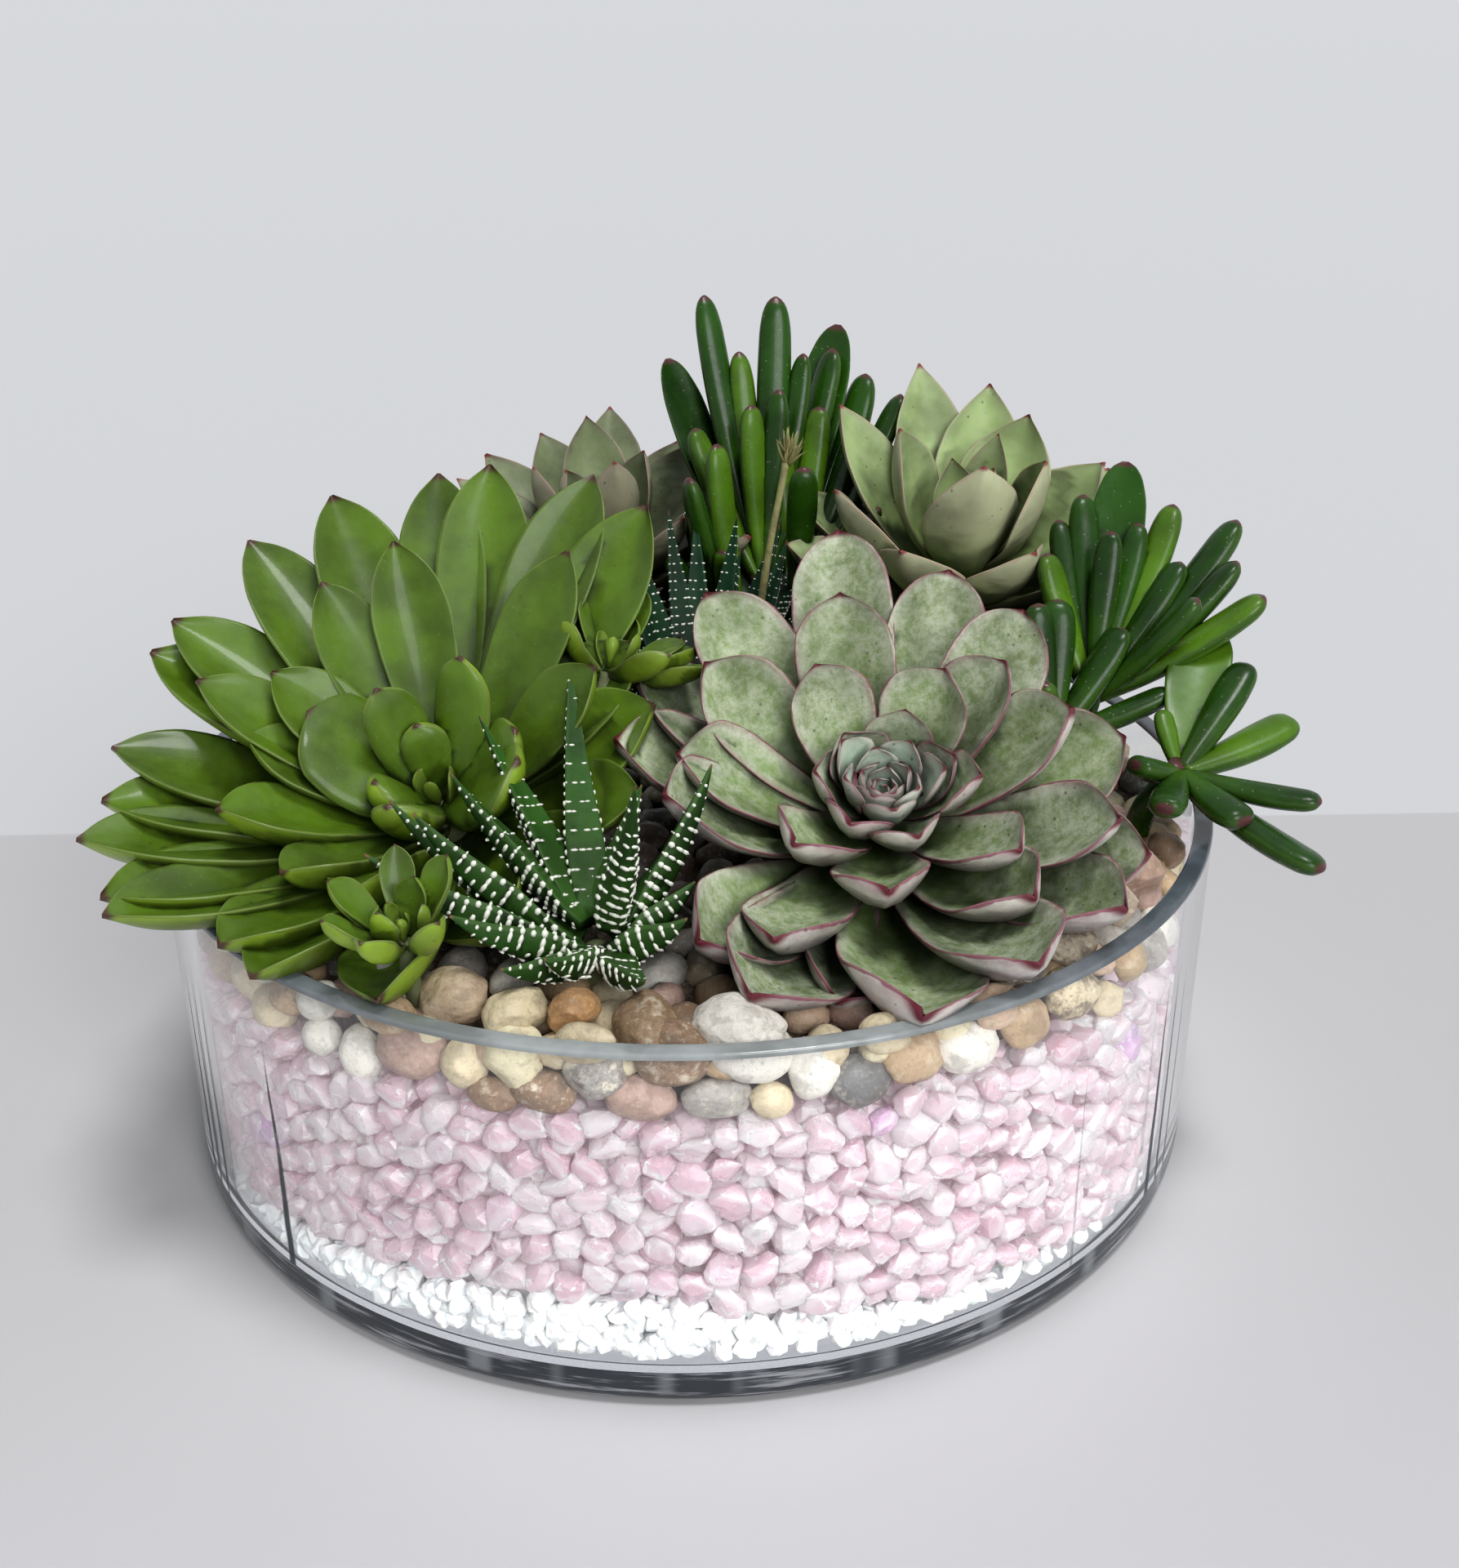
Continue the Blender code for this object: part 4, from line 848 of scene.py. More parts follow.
# Stones against the glass at the front: (azimuth, height, width, height of stone, colour, mottle)
WALL_STONES = [
    (219, 73, 12, 11, CREAM, 0.2), (223, 69, 11, 9, CREAM, 0.3), (231, 77, 9, 7, IVORY, 0.1),
    (231, 69, 8, 8, IVORY, 0.1), (236, 68, 9, 12, IVORY, 0.2), (242, 73, 15, 12, ROSY, 0.4),
    (248, 73, 9, 10, CREAM, 0.2), (253, 76, 11, 13, STRAW, 0.2), (256, 70, 12, 9, BROWN, 0.8),
    (251, 68, 10, 7, BROWN, 0.5), (261, 75, 12, 11, GREY_STONE, 0.9), (265, 70, 13, 9, ROSY, 0.4),
    (268, 79, 15, 12, BROWN, 0.6), (272, 70, 13, 8, GREY_STONE, 0.5), (275.5, 79, 15, 12, IVORY, 0.1),
    (277, 69, 8, 7, CREAM, 0.2), (281, 74, 10, 11, IVORY, 0.2), (285.5, 70, 12, 10, SLATE, 0.4),
    (291, 73, 13, 11, TAN, 0.3), (297, 72, 14, 10, IVORY, 0.2), (300, 79, 10, 8, PEACH, 0.2),
    (304, 73, 12, 11, TAN, 0.4), (311, 74, 13, 11, CREAM, 0.9), (316.5, 68, 9, 8, CREAM, 0.3),
    (321, 73, 9, 9, OCHRE, 0.3), (326, 71, 11, 11, GREY_STONE, 0.6), (331.5, 70, 11, 9, IVORY, 0.2),
    (213, 71, 12, 10, TAN, 0.4), (207.5, 72, 11, 11, BROWN, 0.5), (288, 80, 10, 7, CREAM, 0.3),
    (240, 80, 11, 7, TAN, 0.4), (260, 81.5, 11, 7, CREAM, 0.2), (226.5, 75, 9, 8, TAN, 0.5),
]


def bed_height(x, y):
    """Top of the pebble bed: low at the glass and crowned in the middle, with stony lumps."""
    rise = 1.0 - (math.hypot(x, y) / INNER) ** 2
    return 78.5 + 3.0 * rise + 1.2 * noise.noise(Vector((x / 11.0, y / 11.0, 3.7)))


def stone_mesh(name, centre, size, turn, seed, fineness=5, flats=7):
    """A water-worn stone: a ball with worn flats, drawn out to its size, with a pitted skin."""
    bm = bmesh.new()
    bmesh.ops.create_icosphere(bm, subdivisions=fineness, radius=1.0)
    c, s = math.cos(math.radians(turn)), math.sin(math.radians(turn))
    shift = Vector((seed, 2.0 * seed, 0.0))
    worn = []
    for k in range(flats):
        way = Vector((chance(seed, k, 1), chance(seed, k, 2), chance(seed, k, 3))).normalized()
        worn.append((way, 0.80 + 0.08 * chance(seed, k, 4)))
    for vert in bm.verts:
        p = vert.co.copy()
        for way, depth in worn:
            over = p.dot(way) - depth
            if over > 0:
                p -= way * over * 0.82
        wear = (1.06 + 0.12 * noise.noise(p * 1.1 + shift) + 0.05 * noise.noise(p * 2.7 - shift)
                + 0.02 * noise.noise(p * 7.0 + shift))
        x, y, z = (p[i] * size[i] / 2 * wear for i in range(3))
        p = Vector((centre[0] + x * c - y * s, centre[1] + x * s + y * c, centre[2] + z))
        reach = math.hypot(p.x, p.y)
        if reach > INNER - 0.4:
            p.x, p.y = (v * (INNER - 0.4) / reach for v in (p.x, p.y))
        vert.co = p * MM
    mesh = bpy.data.meshes.new(name)
    bm.to_mesh(mesh)
    bm.free()
    mesh.shade_smooth()
    return mesh


def colour_stone(mesh, colour, mottle):
    """Stores the stone's own colour on its points and marks it as laid one by one."""
    mesh.attributes.new("stone_colour", "FLOAT_COLOR", "POINT").data.foreach_set(
        "color", np.tile((*colour, 1.0), len(mesh.vertices)).astype(np.float32))
    mesh.attributes.new("mottle", "FLOAT", "POINT").data.foreach_set(
        "value", np.full(len(mesh.vertices), mottle, np.float32))
    mesh.attributes.new("laid", "FLOAT", "POINT").data.foreach_set(
        "value", np.ones(len(mesh.vertices), np.float32))


def lay_pebbles(material):
    """The single pebbles on top of the bed."""
    for k, (node, (x, y), size, turn, colour, mottle) in enumerate(PEBBLES):
        centre = (x, y, bed_height(x, y) + 0.3 * size[2])
        mesh = stone_mesh(node, centre, size, turn, 1.7 * k)
        colour_stone(mesh, colour, mottle)
        mesh.materials.append(material)
        body = bpy.data.objects.new(f"{node}_skin", mesh)
        bpy.context.scene.collection.objects.link(body)
        settle(body, node)


def join_meshes(name, meshes, material):
    """The meshes as one object with one material."""
    bm = bmesh.new()
    for mesh in meshes:
        bm.from_mesh(mesh)
    whole = bpy.data.meshes.new(name)
    bm.to_mesh(whole)
    bm.free()
    whole.shade_smooth()
    whole.materials.append(material)
    body = bpy.data.objects.new(name, whole)
    bpy.context.scene.collection.objects.link(body)
    return body


def lay_wall_stones(material):
    """The stones that are seen through the front of the glass."""
    meshes = []
    for k, (azimuth, height, wide, tall, colour, mottle) in enumerate(WALL_STONES):
        deep = 0.8 * min(wide, tall)
        reach = INNER - 0.9 - deep / 2
        a = math.radians(azimuth)
        centre = (reach * math.cos(a), reach * math.sin(a), height)
        mesh = stone_mesh("wall_stone", centre, (deep, wide, tall), azimuth, 3.1 * k + 0.4, 4)
        colour_stone(mesh, colour, mottle)
        meshes.append(mesh)
    return join_meshes("wall_stones", meshes, material)


class Strewing:
    """A Geometry Nodes tree that strews worn chips over a guide surface, and fits them to the
    inside of the dish."""

    def __init__(self):
        self.tree = bpy.data.node_groups.new("strew_chips", "GeometryNodeTree")
        face = self.tree.interface
        face.new_socket("Geometry", in_out="INPUT", socket_type="NodeSocketGeometry")
        self.names = {}
        for name, kind, value in (
                ("Spacing", "NodeSocketFloat", 0.005), ("Smallest", "NodeSocketVector", (0.002,) * 3),
                ("Largest", "NodeSocketVector", (0.004,) * 3), ("Wear", "NodeSocketFloat", 0.2),
                ("Wear Scale", "NodeSocketFloat", 300.0), ("Detail", "NodeSocketInt", 2),
                ("Seed", "NodeSocketInt", 1), ("Tip", "NodeSocketFloat", 3.14),
                ("Reach", "NodeSocketFloat", 0.12), ("Low", "NodeSocketFloat", 0.0),
                ("High", "NodeSocketFloat", 0.1), ("Smooth", "NodeSocketBool", True),
                ("Material", "NodeSocketMaterial", None)):
            socket = face.new_socket(name, in_out="INPUT", socket_type=kind)
            if value is not None:
                socket.default_value = value
            self.names[name] = socket.identifier
        face.new_socket("Geometry", in_out="OUTPUT", socket_type="NodeSocketGeometry")
        self.given = self.tree.nodes.new("NodeGroupInput").outputs
        self.build()

    def add(self, kind, inputs=(), **settings):
        made = self.tree.nodes.new(kind)
        for key, value in settings.items():
            setattr(made, key, value)
        for key, value in dict(inputs).items():
            socket = made.inputs[key]
            if isinstance(value, bpy.types.NodeSocket):
                self.tree.links.new(value, socket)
            else:
                socket.default_value = value
        return made

    def chance(self, kind, low, high, salt):
        made = self.add("FunctionNodeRandomValue", data_type=kind)
        low_key, high_key = (0, 1) if kind == "FLOAT_VECTOR" else (2, 3)
        for key, value in ((low_key, low), (high_key, high)):
            if isinstance(value, bpy.types.NodeSocket):
                self.tree.links.new(value, made.inputs[key])
            else:
                made.inputs[key].default_value = value
        seed = self.add("ShaderNodeMath", {0: self.given["Seed"], 1: float(salt)}, operation="ADD")
        self.tree.links.new(seed.outputs[0], made.inputs["Seed"])
        return made.outputs[0 if kind == "FLOAT_VECTOR" else 1]

    def build(self):
        given = self.given
        spots = self.add("GeometryNodeDistributePointsOnFaces",
                         {"Mesh": given["Geometry"], "Distance Min": given["Spacing"],
                          "Density Max": 2.0e6, "Seed": given["Seed"]}, distribute_method="POISSON")
        ball = self.add("GeometryNodeMeshIcoSphere", {"Radius": 1.0, "Subdivisions": given["Detail"]})
        height = self.add("ShaderNodeSeparateXYZ",
                          {0: self.add("GeometryNodeInputPosition").outputs[0]}).outputs[2]
        flank = self.add("ShaderNodeMath", {0: height}, operation="ABSOLUTE")
        chip = self.add("GeometryNodeStoreNamedAttribute",
                        {"Geometry": ball.outputs["Mesh"], "Name": "flat", "Value": flank.outputs[0]},
                        data_type="FLOAT", domain="POINT")
        size = self.chance("FLOAT_VECTOR", given["Smallest"], given["Largest"], 3)
        tip = self.add("ShaderNodeCombineXYZ", {0: given["Tip"], 1: given["Tip"], 2: 3.1416})
        back = self.add("ShaderNodeVectorMath", {0: tip.outputs[0], "Scale": -1.0}, operation="SCALE")
        spin = self.chance("FLOAT_VECTOR", back.outputs[0], tip.outputs[0], 7)
        laid = self.add("GeometryNodeInstanceOnPoints",
                        {"Points": spots.outputs["Points"], "Instance": chip.outputs[0],
                         "Rotation": spin, "Scale": size})
        tinted = self.add("GeometryNodeStoreNamedAttribute",
                          {"Geometry": laid.outputs[0], "Name": "tint",
                           "Value": self.chance("FLOAT", 0.0, 1.0, 11)},
                          data_type="FLOAT", domain="INSTANCE")
        real = self.add("GeometryNodeRealizeInstances", {"Geometry": tinted.outputs[0]})
        place = self.add("GeometryNodeInputPosition")
        wear = self.add("ShaderNodeTexNoise", {"Vector": place.outputs[0], "Scale": given["Wear Scale"],
                                               "Detail": 1.0})
        centred = self.add("ShaderNodeVectorMath", {0: wear.outputs["Color"], 1: (0.5, 0.5, 0.5)},
                           operation="SUBTRACT")
        mean = self.add("ShaderNodeVectorMath", {0: given["Largest"], "Scale": given["Wear"]},
                        operation="SCALE")
        longest = self.add("ShaderNodeVectorMath", {0: mean.outputs[0]}, operation="LENGTH")
        push = self.add("ShaderNodeVectorMath", {0: centred.outputs[0], "Scale": longest.outputs["Value"]},
                        operation="SCALE")
        worn = self.add("GeometryNodeSetPosition", {"Geometry": real.outputs[0],
                                                    "Offset": push.outputs[0]})
        again = self.add("GeometryNodeInputPosition")
        parts = self.add("ShaderNodeSeparateXYZ", {0: again.outputs[0]})
        level = self.add("ShaderNodeCombineXYZ", {0: parts.outputs[0], 1: parts.outputs[1]})
        radius = self.add("ShaderNodeVectorMath", {0: level.outputs[0]}, operation="LENGTH")
        share = self.add("ShaderNodeMath", {0: given["Reach"], 1: radius.outputs["Value"]},
                         operation="DIVIDE")
        held = self.add("ShaderNodeMath", {0: share.outputs[0], 1: 1.0}, operation="MINIMUM")
        inward = self.add("ShaderNodeVectorMath", {0: level.outputs[0], "Scale": held.outputs[0]},
                          operation="SCALE")
        floor = self.add("ShaderNodeMath", {0: parts.outputs[2], 1: given["Low"]}, operation="MAXIMUM")
        roof = self.add("ShaderNodeMath", {0: floor.outputs[0], 1: given["High"]}, operation="MINIMUM")
        upright = self.add("ShaderNodeCombineXYZ", {2: roof.outputs[0]})
        target = self.add("ShaderNodeVectorMath", {0: inward.outputs[0], 1: upright.outputs[0]},
                          operation="ADD")
        fitted = self.add("GeometryNodeSetPosition", {"Geometry": worn.outputs[0],
                                                      "Position": target.outputs[0]})
        smooth = self.add("GeometryNodeSetShadeSmooth", {"Geometry": fitted.outputs[0],
                                                         "Shade Smooth": given["Smooth"]})
        final = self.add("GeometryNodeSetMaterial", {"Geometry": smooth.outputs[0],
                                                     "Material": given["Material"]})
        out = self.add("NodeGroupOutput")
        self.tree.links.new(final.outputs[0], out.inputs[0])

    def strew(self, name, guide, **inputs):
        """Chips over the guide, as one mesh object. The guide itself goes."""
        modifier = guide.modifiers.new("strew", "NODES")
        modifier.node_group = self.tree
        for key, value in inputs.items():
            modifier[self.names[key.replace("_", " ")]] = value
        depsgraph = bpy.context.evaluated_depsgraph_get()
        mesh = bpy.data.meshes.new_from_object(guide.evaluated_get(depsgraph))
        bpy.data.objects.remove(guide)
        mesh.name = name
        body = bpy.data.objects.new(name, mesh)
        bpy.context.scene.collection.objects.link(body)
        return body


def one_piece(name, bodies):
    """The bodies' meshes as one object, with their materials and attributes."""
    with bpy.context.temp_override(active_object=bodies[0], object=bodies[0],
                                   selected_objects=bodies, selected_editable_objects=bodies):
        bpy.ops.object.join()
    bodies[0].name = bodies[0].data.name = name
    return bodies[0]


def gravel_height(azimuth):
    """Top of the white gravel at the glass. It is heaped up at the front."""
    table = [(0, 8), (60, 12), (110, 14), (160, 11), (209, 11), (226, 16), (236, 17.5), (254, 20.5),
             (266, 22), (278, 17), (300, 11.5), (330, 8), (360, 8)]
    return float(np.interp(azimuth % 360, *zip(*table)))


def wall_guide(radius, low, high, first=0.0, last=360.0, columns=120, rows=10):
    """A curved sheet inside the glass. low and high are heights by azimuth."""
    points, faces = [], []
    for i in range(columns + 1):
        azimuth = first + (last - first) * i / columns
        a = math.radians(azimuth)
        base, top = low(azimuth), high(azimuth)
        points += [(radius * math.cos(a) * MM, radius * math.sin(a) * MM,
                    (base + (top - base) * j / rows) * MM) for j in range(rows + 1)]
    for i in range(columns):
        for j in range(rows):
            k = i * (rows + 1) + j
            faces.append((k, k + rows + 1, k + rows + 2, k + 1))
    return mesh_object("guide", points, faces)


def disc_guide(radius, height, rings=12, columns=96):
    """A round sheet over the bed. height gives its height in x and y."""
    points = [(0.0, 0.0, height(0, 0) * MM)]
    for i in range(1, rings + 1):
        for j in range(columns):
            a, r = 2 * math.pi * j / columns, radius * i / rings
            x, y = r * math.cos(a), r * math.sin(a)
            points.append((x * MM, y * MM, height(x, y) * MM))
    faces = [(0, 1 + j, 1 + (j + 1) % columns) for j in range(columns)]
    for i in range(rings - 1):
        for j in range(columns):
            a, b = 1 + i * columns + j, 1 + i * columns + (j + 1) % columns
            faces.append((a, a + columns, b + columns, b))
    return mesh_object("guide", points, faces)


def backing(name, sections, material, columns=96):
    """A closed body of revolution behind the chips. A section is (radius, height by azimuth)."""
    points, faces = [], []
    for radius, height in sections:
        for j in range(columns):
            a = 2 * math.pi * j / columns
            points.append((radius * math.cos(a) * MM, radius * math.sin(a) * MM,
                           height(math.degrees(a)) * MM))
    count = len(sections)
    for i in range(count):
        for j in range(columns):
            a, b = i * columns + j, i * columns + (j + 1) % columns
            c, d = ((i + 1) % count) * columns + j, ((i + 1) % count) * columns + (j + 1) % columns
            faces.append((a, b, d, c))
    body = mesh_object(name, points, faces, True)
    bm = bmesh.new()
    bm.from_mesh(body.data)
    bmesh.ops.recalc_face_normals(bm, faces=bm.faces)
    bm.to_mesh(body.data)
    bm.free()
    body.data.materials.append(material)
    return body


def level_at(height):
    """The same height at every azimuth."""
    return lambda azimuth: height


def fill_dish():
    """Gravel, quartz chips and the pebble bed, each as chips in front of a backing."""
    strewing = Strewing()
    gravel, quartz, pebble = gravel_paint(), quartz_paint(), pebble_paint()
    bodies = [backing("gravel_backing", [(2, level_at(8.6)), (113, level_at(8.6)),
                                         (113, lambda a: gravel_height(a) - 1.5),
                                         (90, lambda a: gravel_height(a) - 3), (2, level_at(10))],
                      gravel_backing_paint())]
    for k, (radius, spacing) in enumerate(((117.6, 0.0030), (115.2, 0.0036))):
        bodies.append(strewing.strew(
            "gravel", wall_guide(radius, level_at(9.6), lambda a: gravel_height(a) - 0.8), Spacing=spacing,
            Smallest=(0.0017, 0.0015, 0.0013), Largest=(0.0035, 0.0030, 0.0026), Wear=0.60,
            Wear_Scale=360.0, Detail=2, Seed=5 + k, Tip=3.14, Reach=0.1203, Low=0.0085, High=0.0245,
            Smooth=False, Material=gravel))
    settle(one_piece("white_gravel_chips", bodies), "white_gravel")

    bodies = [backing("quartz_backing", [(97.6, lambda a: gravel_height(a) + 3),
                                         (112, lambda a: gravel_height(a) + 1),
                                         (112, level_at(64)), (97.6, level_at(65))], quartz_backing_paint())]
    for k, (radius, spacing) in enumerate(((117.5, 0.0061), (115.0, 0.0066), (112.6, 0.0076))):
        bodies.append(strewing.strew(
            "quartz", wall_guide(radius, lambda a: gravel_height(a) + 3.4, level_at(64.0)), Spacing=spacing,
            Smallest=(0.0036, 0.0032, 0.0024), Largest=(0.0056, 0.0044, 0.0036), Wear=0.55,
            Wear_Scale=225.0, Detail=2, Seed=21 + k, Tip=0.9, Reach=0.1203, Low=0.0085, High=0.0690,
            Smooth=False, Material=quartz))
    settle(one_piece("rose_quartz_pieces", bodies), "rose_quartz_chips")

    bodies = [backing("bed_backing", [(2, level_at(74.6)), (97, level_at(74.6)), (98.5, level_at(66.6)),
                                      (111.5, level_at(66.6)), (111.5, level_at(75)), (60, level_at(77)),
                                      (2, level_at(77))], grit_paint())]
    bodies.append(strewing.strew(
        "bed", wall_guide(114.8, level_at(69.0), level_at(77.0), -26.0, 203.0), Spacing=0.0088,
        Smallest=(0.0042, 0.0040, 0.0032), Largest=(0.0068, 0.0060, 0.0046), Wear=0.30, Wear_Scale=150.0,
        Detail=2, Seed=33, Tip=0.5, Reach=0.1203, Low=0.0665, High=0.0830, Smooth=True, Material=pebble))
    bodies.append(strewing.strew(
        "bed", disc_guide(113.0, lambda x, y: bed_height(x, y) - 3.0), Spacing=0.0092,
        Smallest=(0.0044, 0.0040, 0.0030), Largest=(0.0072, 0.0060, 0.0042), Wear=0.28, Wear_Scale=150.0,
        Detail=2, Seed=44, Tip=0.35, Reach=0.1203, Low=0.0665, High=0.0850, Smooth=True, Material=pebble))
    bodies.append(lay_wall_stones(pebble))
    settle(one_piece("river_pebbles", bodies), "pebble_bed")
    lay_pebbles(pebble)


def gravel_paint():
    """White crushed gravel, with a few creamy grains."""
    paint = Paint("white_gravel")
    tint = paint.attribute("tint")
    body = paint.ramp(tint, [(0.0, (0.80, 0.80, 0.80)), (0.3, (0.87, 0.87, 0.87)),
                             (0.95, (0.90, 0.90, 0.90)), (1.0, (0.85, 0.83, 0.80))])
    grain = paint.noise(900.0, 3.0)
    body = paint.mix(paint.remap(grain, 0.66, 0.80, 0.0, 0.25), body, (0.78, 0.76, 0.72))
    return paint.surface(body, 0.62, paint.bump(grain, 0.0003, 0.3), Subsurface_Weight=0.2,
                         Subsurface_Scale=0.002)


def gravel_backing_paint():
    """The white that shows in the gaps between the grains at the glass."""
    paint = Paint("gravel_shade")
    return paint.surface(paint.mix(paint.noise(600.0), (0.84, 0.84, 0.84), (0.95, 0.95, 0.95)), 0.8)


def quartz_paint():
    """Milky rose quartz. Its faint glow stands for the light that wanders between the chips."""
    paint = Paint("rose_quartz")
    paint.material.cycles.emission_sampling = "NONE"
    tint = paint.attribute("tint")
    body = paint.ramp(tint, [(0.0, (0.71, 0.49, 0.56)), (0.30, (0.76, 0.56, 0.62)),
                             (0.60, (0.80, 0.62, 0.67)), (0.88, (0.87, 0.76, 0.79)),
                             (0.975, (0.76, 0.55, 0.63)), (1.0, (0.66, 0.40, 0.70))])
    cloud = paint.noise(200.0, 5.0)
    body = paint.mix(paint.remap(cloud, 0.50, 0.78, 0.0, 0.5), body, (0.95, 0.87, 0.89))
    # Painted highlight: each chip is painted paler round its edge, for light that shines through the thin
    # edge.
    rim = paint.remap(paint.attribute("flat"), 0.42, 0.05, 0.0, 0.6)
    body = paint.mix(rim, body, (0.95, 0.85, 0.88))
    # Fine white lines: fractures in the quartz that are painted bright as painted glints.
    crack_glint = paint.remap(paint.cells(230.0, "DISTANCE_TO_EDGE"), 0.07, 0.03)
    crack_glint = paint.math("MULTIPLY", crack_glint, paint.remap(paint.noise(330.0, 2.0), 0.57, 0.61))
    body = paint.mix(crack_glint, body, (0.98, 0.94, 0.95))
    return paint.surface(body, paint.remap(cloud, 0.3, 0.7, 0.22, 0.38), paint.bump(cloud, 0.0009, 0.35),
                         Transmission_Weight=0.35, Subsurface_Weight=0.6, Subsurface_Scale=0.006,
                         Subsurface_Radius=(1.0, 0.6, 0.7), IOR=1.45, Emission_Color=body,
                         Emission_Strength=0.045)


def quartz_backing_paint():
    """The rose tone that shows in the gaps between the chips at the glass."""
    paint = Paint("quartz_shade")
    return paint.surface(paint.mix(paint.noise(350.0), (0.84, 0.62, 0.67), (0.95, 0.80, 0.84)), 0.6)


def grit_paint():
    """Dark grit between the river stones."""
    paint = Paint("grit")
    grain = paint.noise(500.0, 4.0)
    body = paint.mix(paint.remap(grain, 0.35, 0.7), (0.035, 0.025, 0.018), (0.14, 0.10, 0.07))
    return paint.surface(body, 0.95, paint.bump(grain, 0.001, 0.6))


def pebble_paint():
    """Stones: those strewn take their colour by chance, and those laid one by one carry it."""
    paint = Paint("river_stone")
    tint = paint.attribute("tint")
    colours = [CREAM, IVORY, TAN, STRAW, BROWN, ROSY, IVORY, GREY_STONE, CREAM, TAN, SLATE, PEACH]
    ramp = paint.add("ShaderNodeValToRGB")
    ramp.color_ramp.interpolation = "CONSTANT"
    elements = ramp.color_ramp.elements
    while len(elements) < len(colours):
        elements.new(0.5)
    for k, (element, colour) in enumerate(zip(elements, colours)):
        element.position = k / len(colours)
        element.color = (*colour, 1.0)
    paint.feed(ramp.inputs[0], tint)
    laid = paint.attribute("laid")
    place = paint.split(paint.coords())
    reach = paint.math("SQRT", paint.math("ADD", paint.math("POWER", place["X"], 2.0),
                                          paint.math("POWER", place["Y"], 2.0)))
    # Painted shade: strewn stones are painted darker towards the middle of the dish, under the plants.
    strewn = paint.scaled(ramp.outputs["Color"], paint.remap(reach, 0.078, 0.104, 0.16, 1.0))
    body = paint.mix(laid, strewn, paint.attribute("stone_colour", colour=True))
    mottle = paint.math("MAXIMUM", paint.attribute("mottle"), 0.35)
    cloud = paint.noise(170.0, 5.0, roughness=0.65)
    grain = paint.noise(900.0, 4.0, roughness=0.7)
    for field, low, high, share, colour in ((cloud, 0.50, 0.62, 0.9, (0.11, 0.075, 0.05)),
                                            (cloud, 0.44, 0.34, 0.8, (0.82, 0.75, 0.60)),
                                            (grain, 0.52, 0.66, 0.6, (0.07, 0.05, 0.035)),
                                            (grain, 0.46, 0.34, 0.5, (0.70, 0.62, 0.48))):
        spot = paint.math("MULTIPLY", paint.remap(field, low, high),
                          paint.math("MULTIPLY", mottle, share))
        body = paint.mix(spot, body, colour)
    return paint.surface(body, paint.remap(cloud, 0.3, 0.7, 0.34, 0.6), paint.bump(grain, 0.0006, 0.5),
                         Specular_IOR_Level=0.4)


# ---------------------------------------------------------------- dish, soil, stems and stalk

# Dark lines painted down the wall as painted reflection, for the dark streaks that the thick curved glass
# shows: (azimuth, width in degrees, strength)
PAINTED_REFLECTION_LINES = [(206.3, 0.85, 0.95), (208.8, 0.60, 0.8), (211.5, 0.45, 0.7), (225.8, 0.75, 0.97),
              (310.4, 0.30, 0.4), (325.6, 0.80, 0.95), (328.6, 0.55, 0.8), (331.4, 0.45, 0.7),
              (34.0, 0.50, 0.8), (52.0, 0.40, 0.6), (118.0, 0.55, 0.8), (151.5, 0.45, 0.7)]


def glass_paint():
    """Clear glass that lets light through to its own shadow, with dark lines painted into its wall as
    painted reflection.
    """
    paint = Paint("clear_glass")
    tint = (0.985, 0.992, 0.995)
    paint.surface(tint, 0.0, Transmission_Weight=1.0, IOR=1.46)
    path = paint.add("ShaderNodeLightPath")
    clear = paint.add("ShaderNodeBsdfTransparent")
    clear.inputs["Color"].default_value = (*tint, 1.0)
    # The colour of the painted reflection lines.
    dark = paint.add("ShaderNodeBsdfPrincipled")
    paint.feed(dark.inputs["Base Color"], (0.045, 0.055, 0.065))
    dark.inputs["Roughness"].default_value = 0.5
    dark.inputs["Specular IOR Level"].default_value = 0.1
    place = paint.split(paint.coords())
    azimuth = paint.math("MULTIPLY", paint.math("ARCTAN2", place["Y"], place["X"]), 180 / math.pi)
    azimuth = paint.math("ADD", azimuth, 0.35)
    sway = paint.remap(paint.noise(22.0, 2.0), 0.2, 0.8, -0.35, 0.35)
    azimuth = paint.math("ADD", azimuth, sway)
    taper = paint.remap(place["Z"], 0.012, 0.062, 1.0, 0.28)
    lines = 0.0
    for centre, width, strength in PAINTED_REFLECTION_LINES:
        centre = centre if centre < 180 else centre - 360
        away = paint.math("ABSOLUTE", paint.math("SUBTRACT", azimuth, centre))
        away = paint.math("DIVIDE", away, taper)
        lines = paint.math("MAXIMUM", paint.remap(away, width, width * 0.4, 0.0, strength), lines)
    lines = paint.math("MULTIPLY", lines, paint.remap(place["Z"], 0.068, 0.050))
    lines = paint.math("MULTIPLY", lines, paint.remap(paint.noise(60.0, 3.0), 0.25, 0.45, 0.5, 1.0))
    reach = paint.math("SQRT", paint.math("ADD", paint.math("POWER", place["X"], 2.0),
                                          paint.math("POWER", place["Y"], 2.0)))
    lines = paint.math("MULTIPLY", lines, paint.math("GREATER_THAN", reach, (DISH_RADIUS - 1) * MM))
    with_reflection_lines, shaded = paint.add("ShaderNodeMixShader"), paint.add("ShaderNodeMixShader")
    out = paint.tree.nodes["Material Output"]
    paint.feed(with_reflection_lines.inputs["Fac"], lines)
    paint.tree.links.new(paint.shader.outputs[0], with_reflection_lines.inputs[1])
    paint.tree.links.new(dark.outputs[0], with_reflection_lines.inputs[2])
    paint.feed(shaded.inputs["Fac"], path.outputs["Is Shadow Ray"])
    paint.tree.links.new(with_reflection_lines.outputs[0], shaded.inputs[1])
    paint.tree.links.new(clear.outputs[0], shaded.inputs[2])
    paint.tree.links.new(shaded.outputs[0], out.inputs["Surface"])
    return paint.material


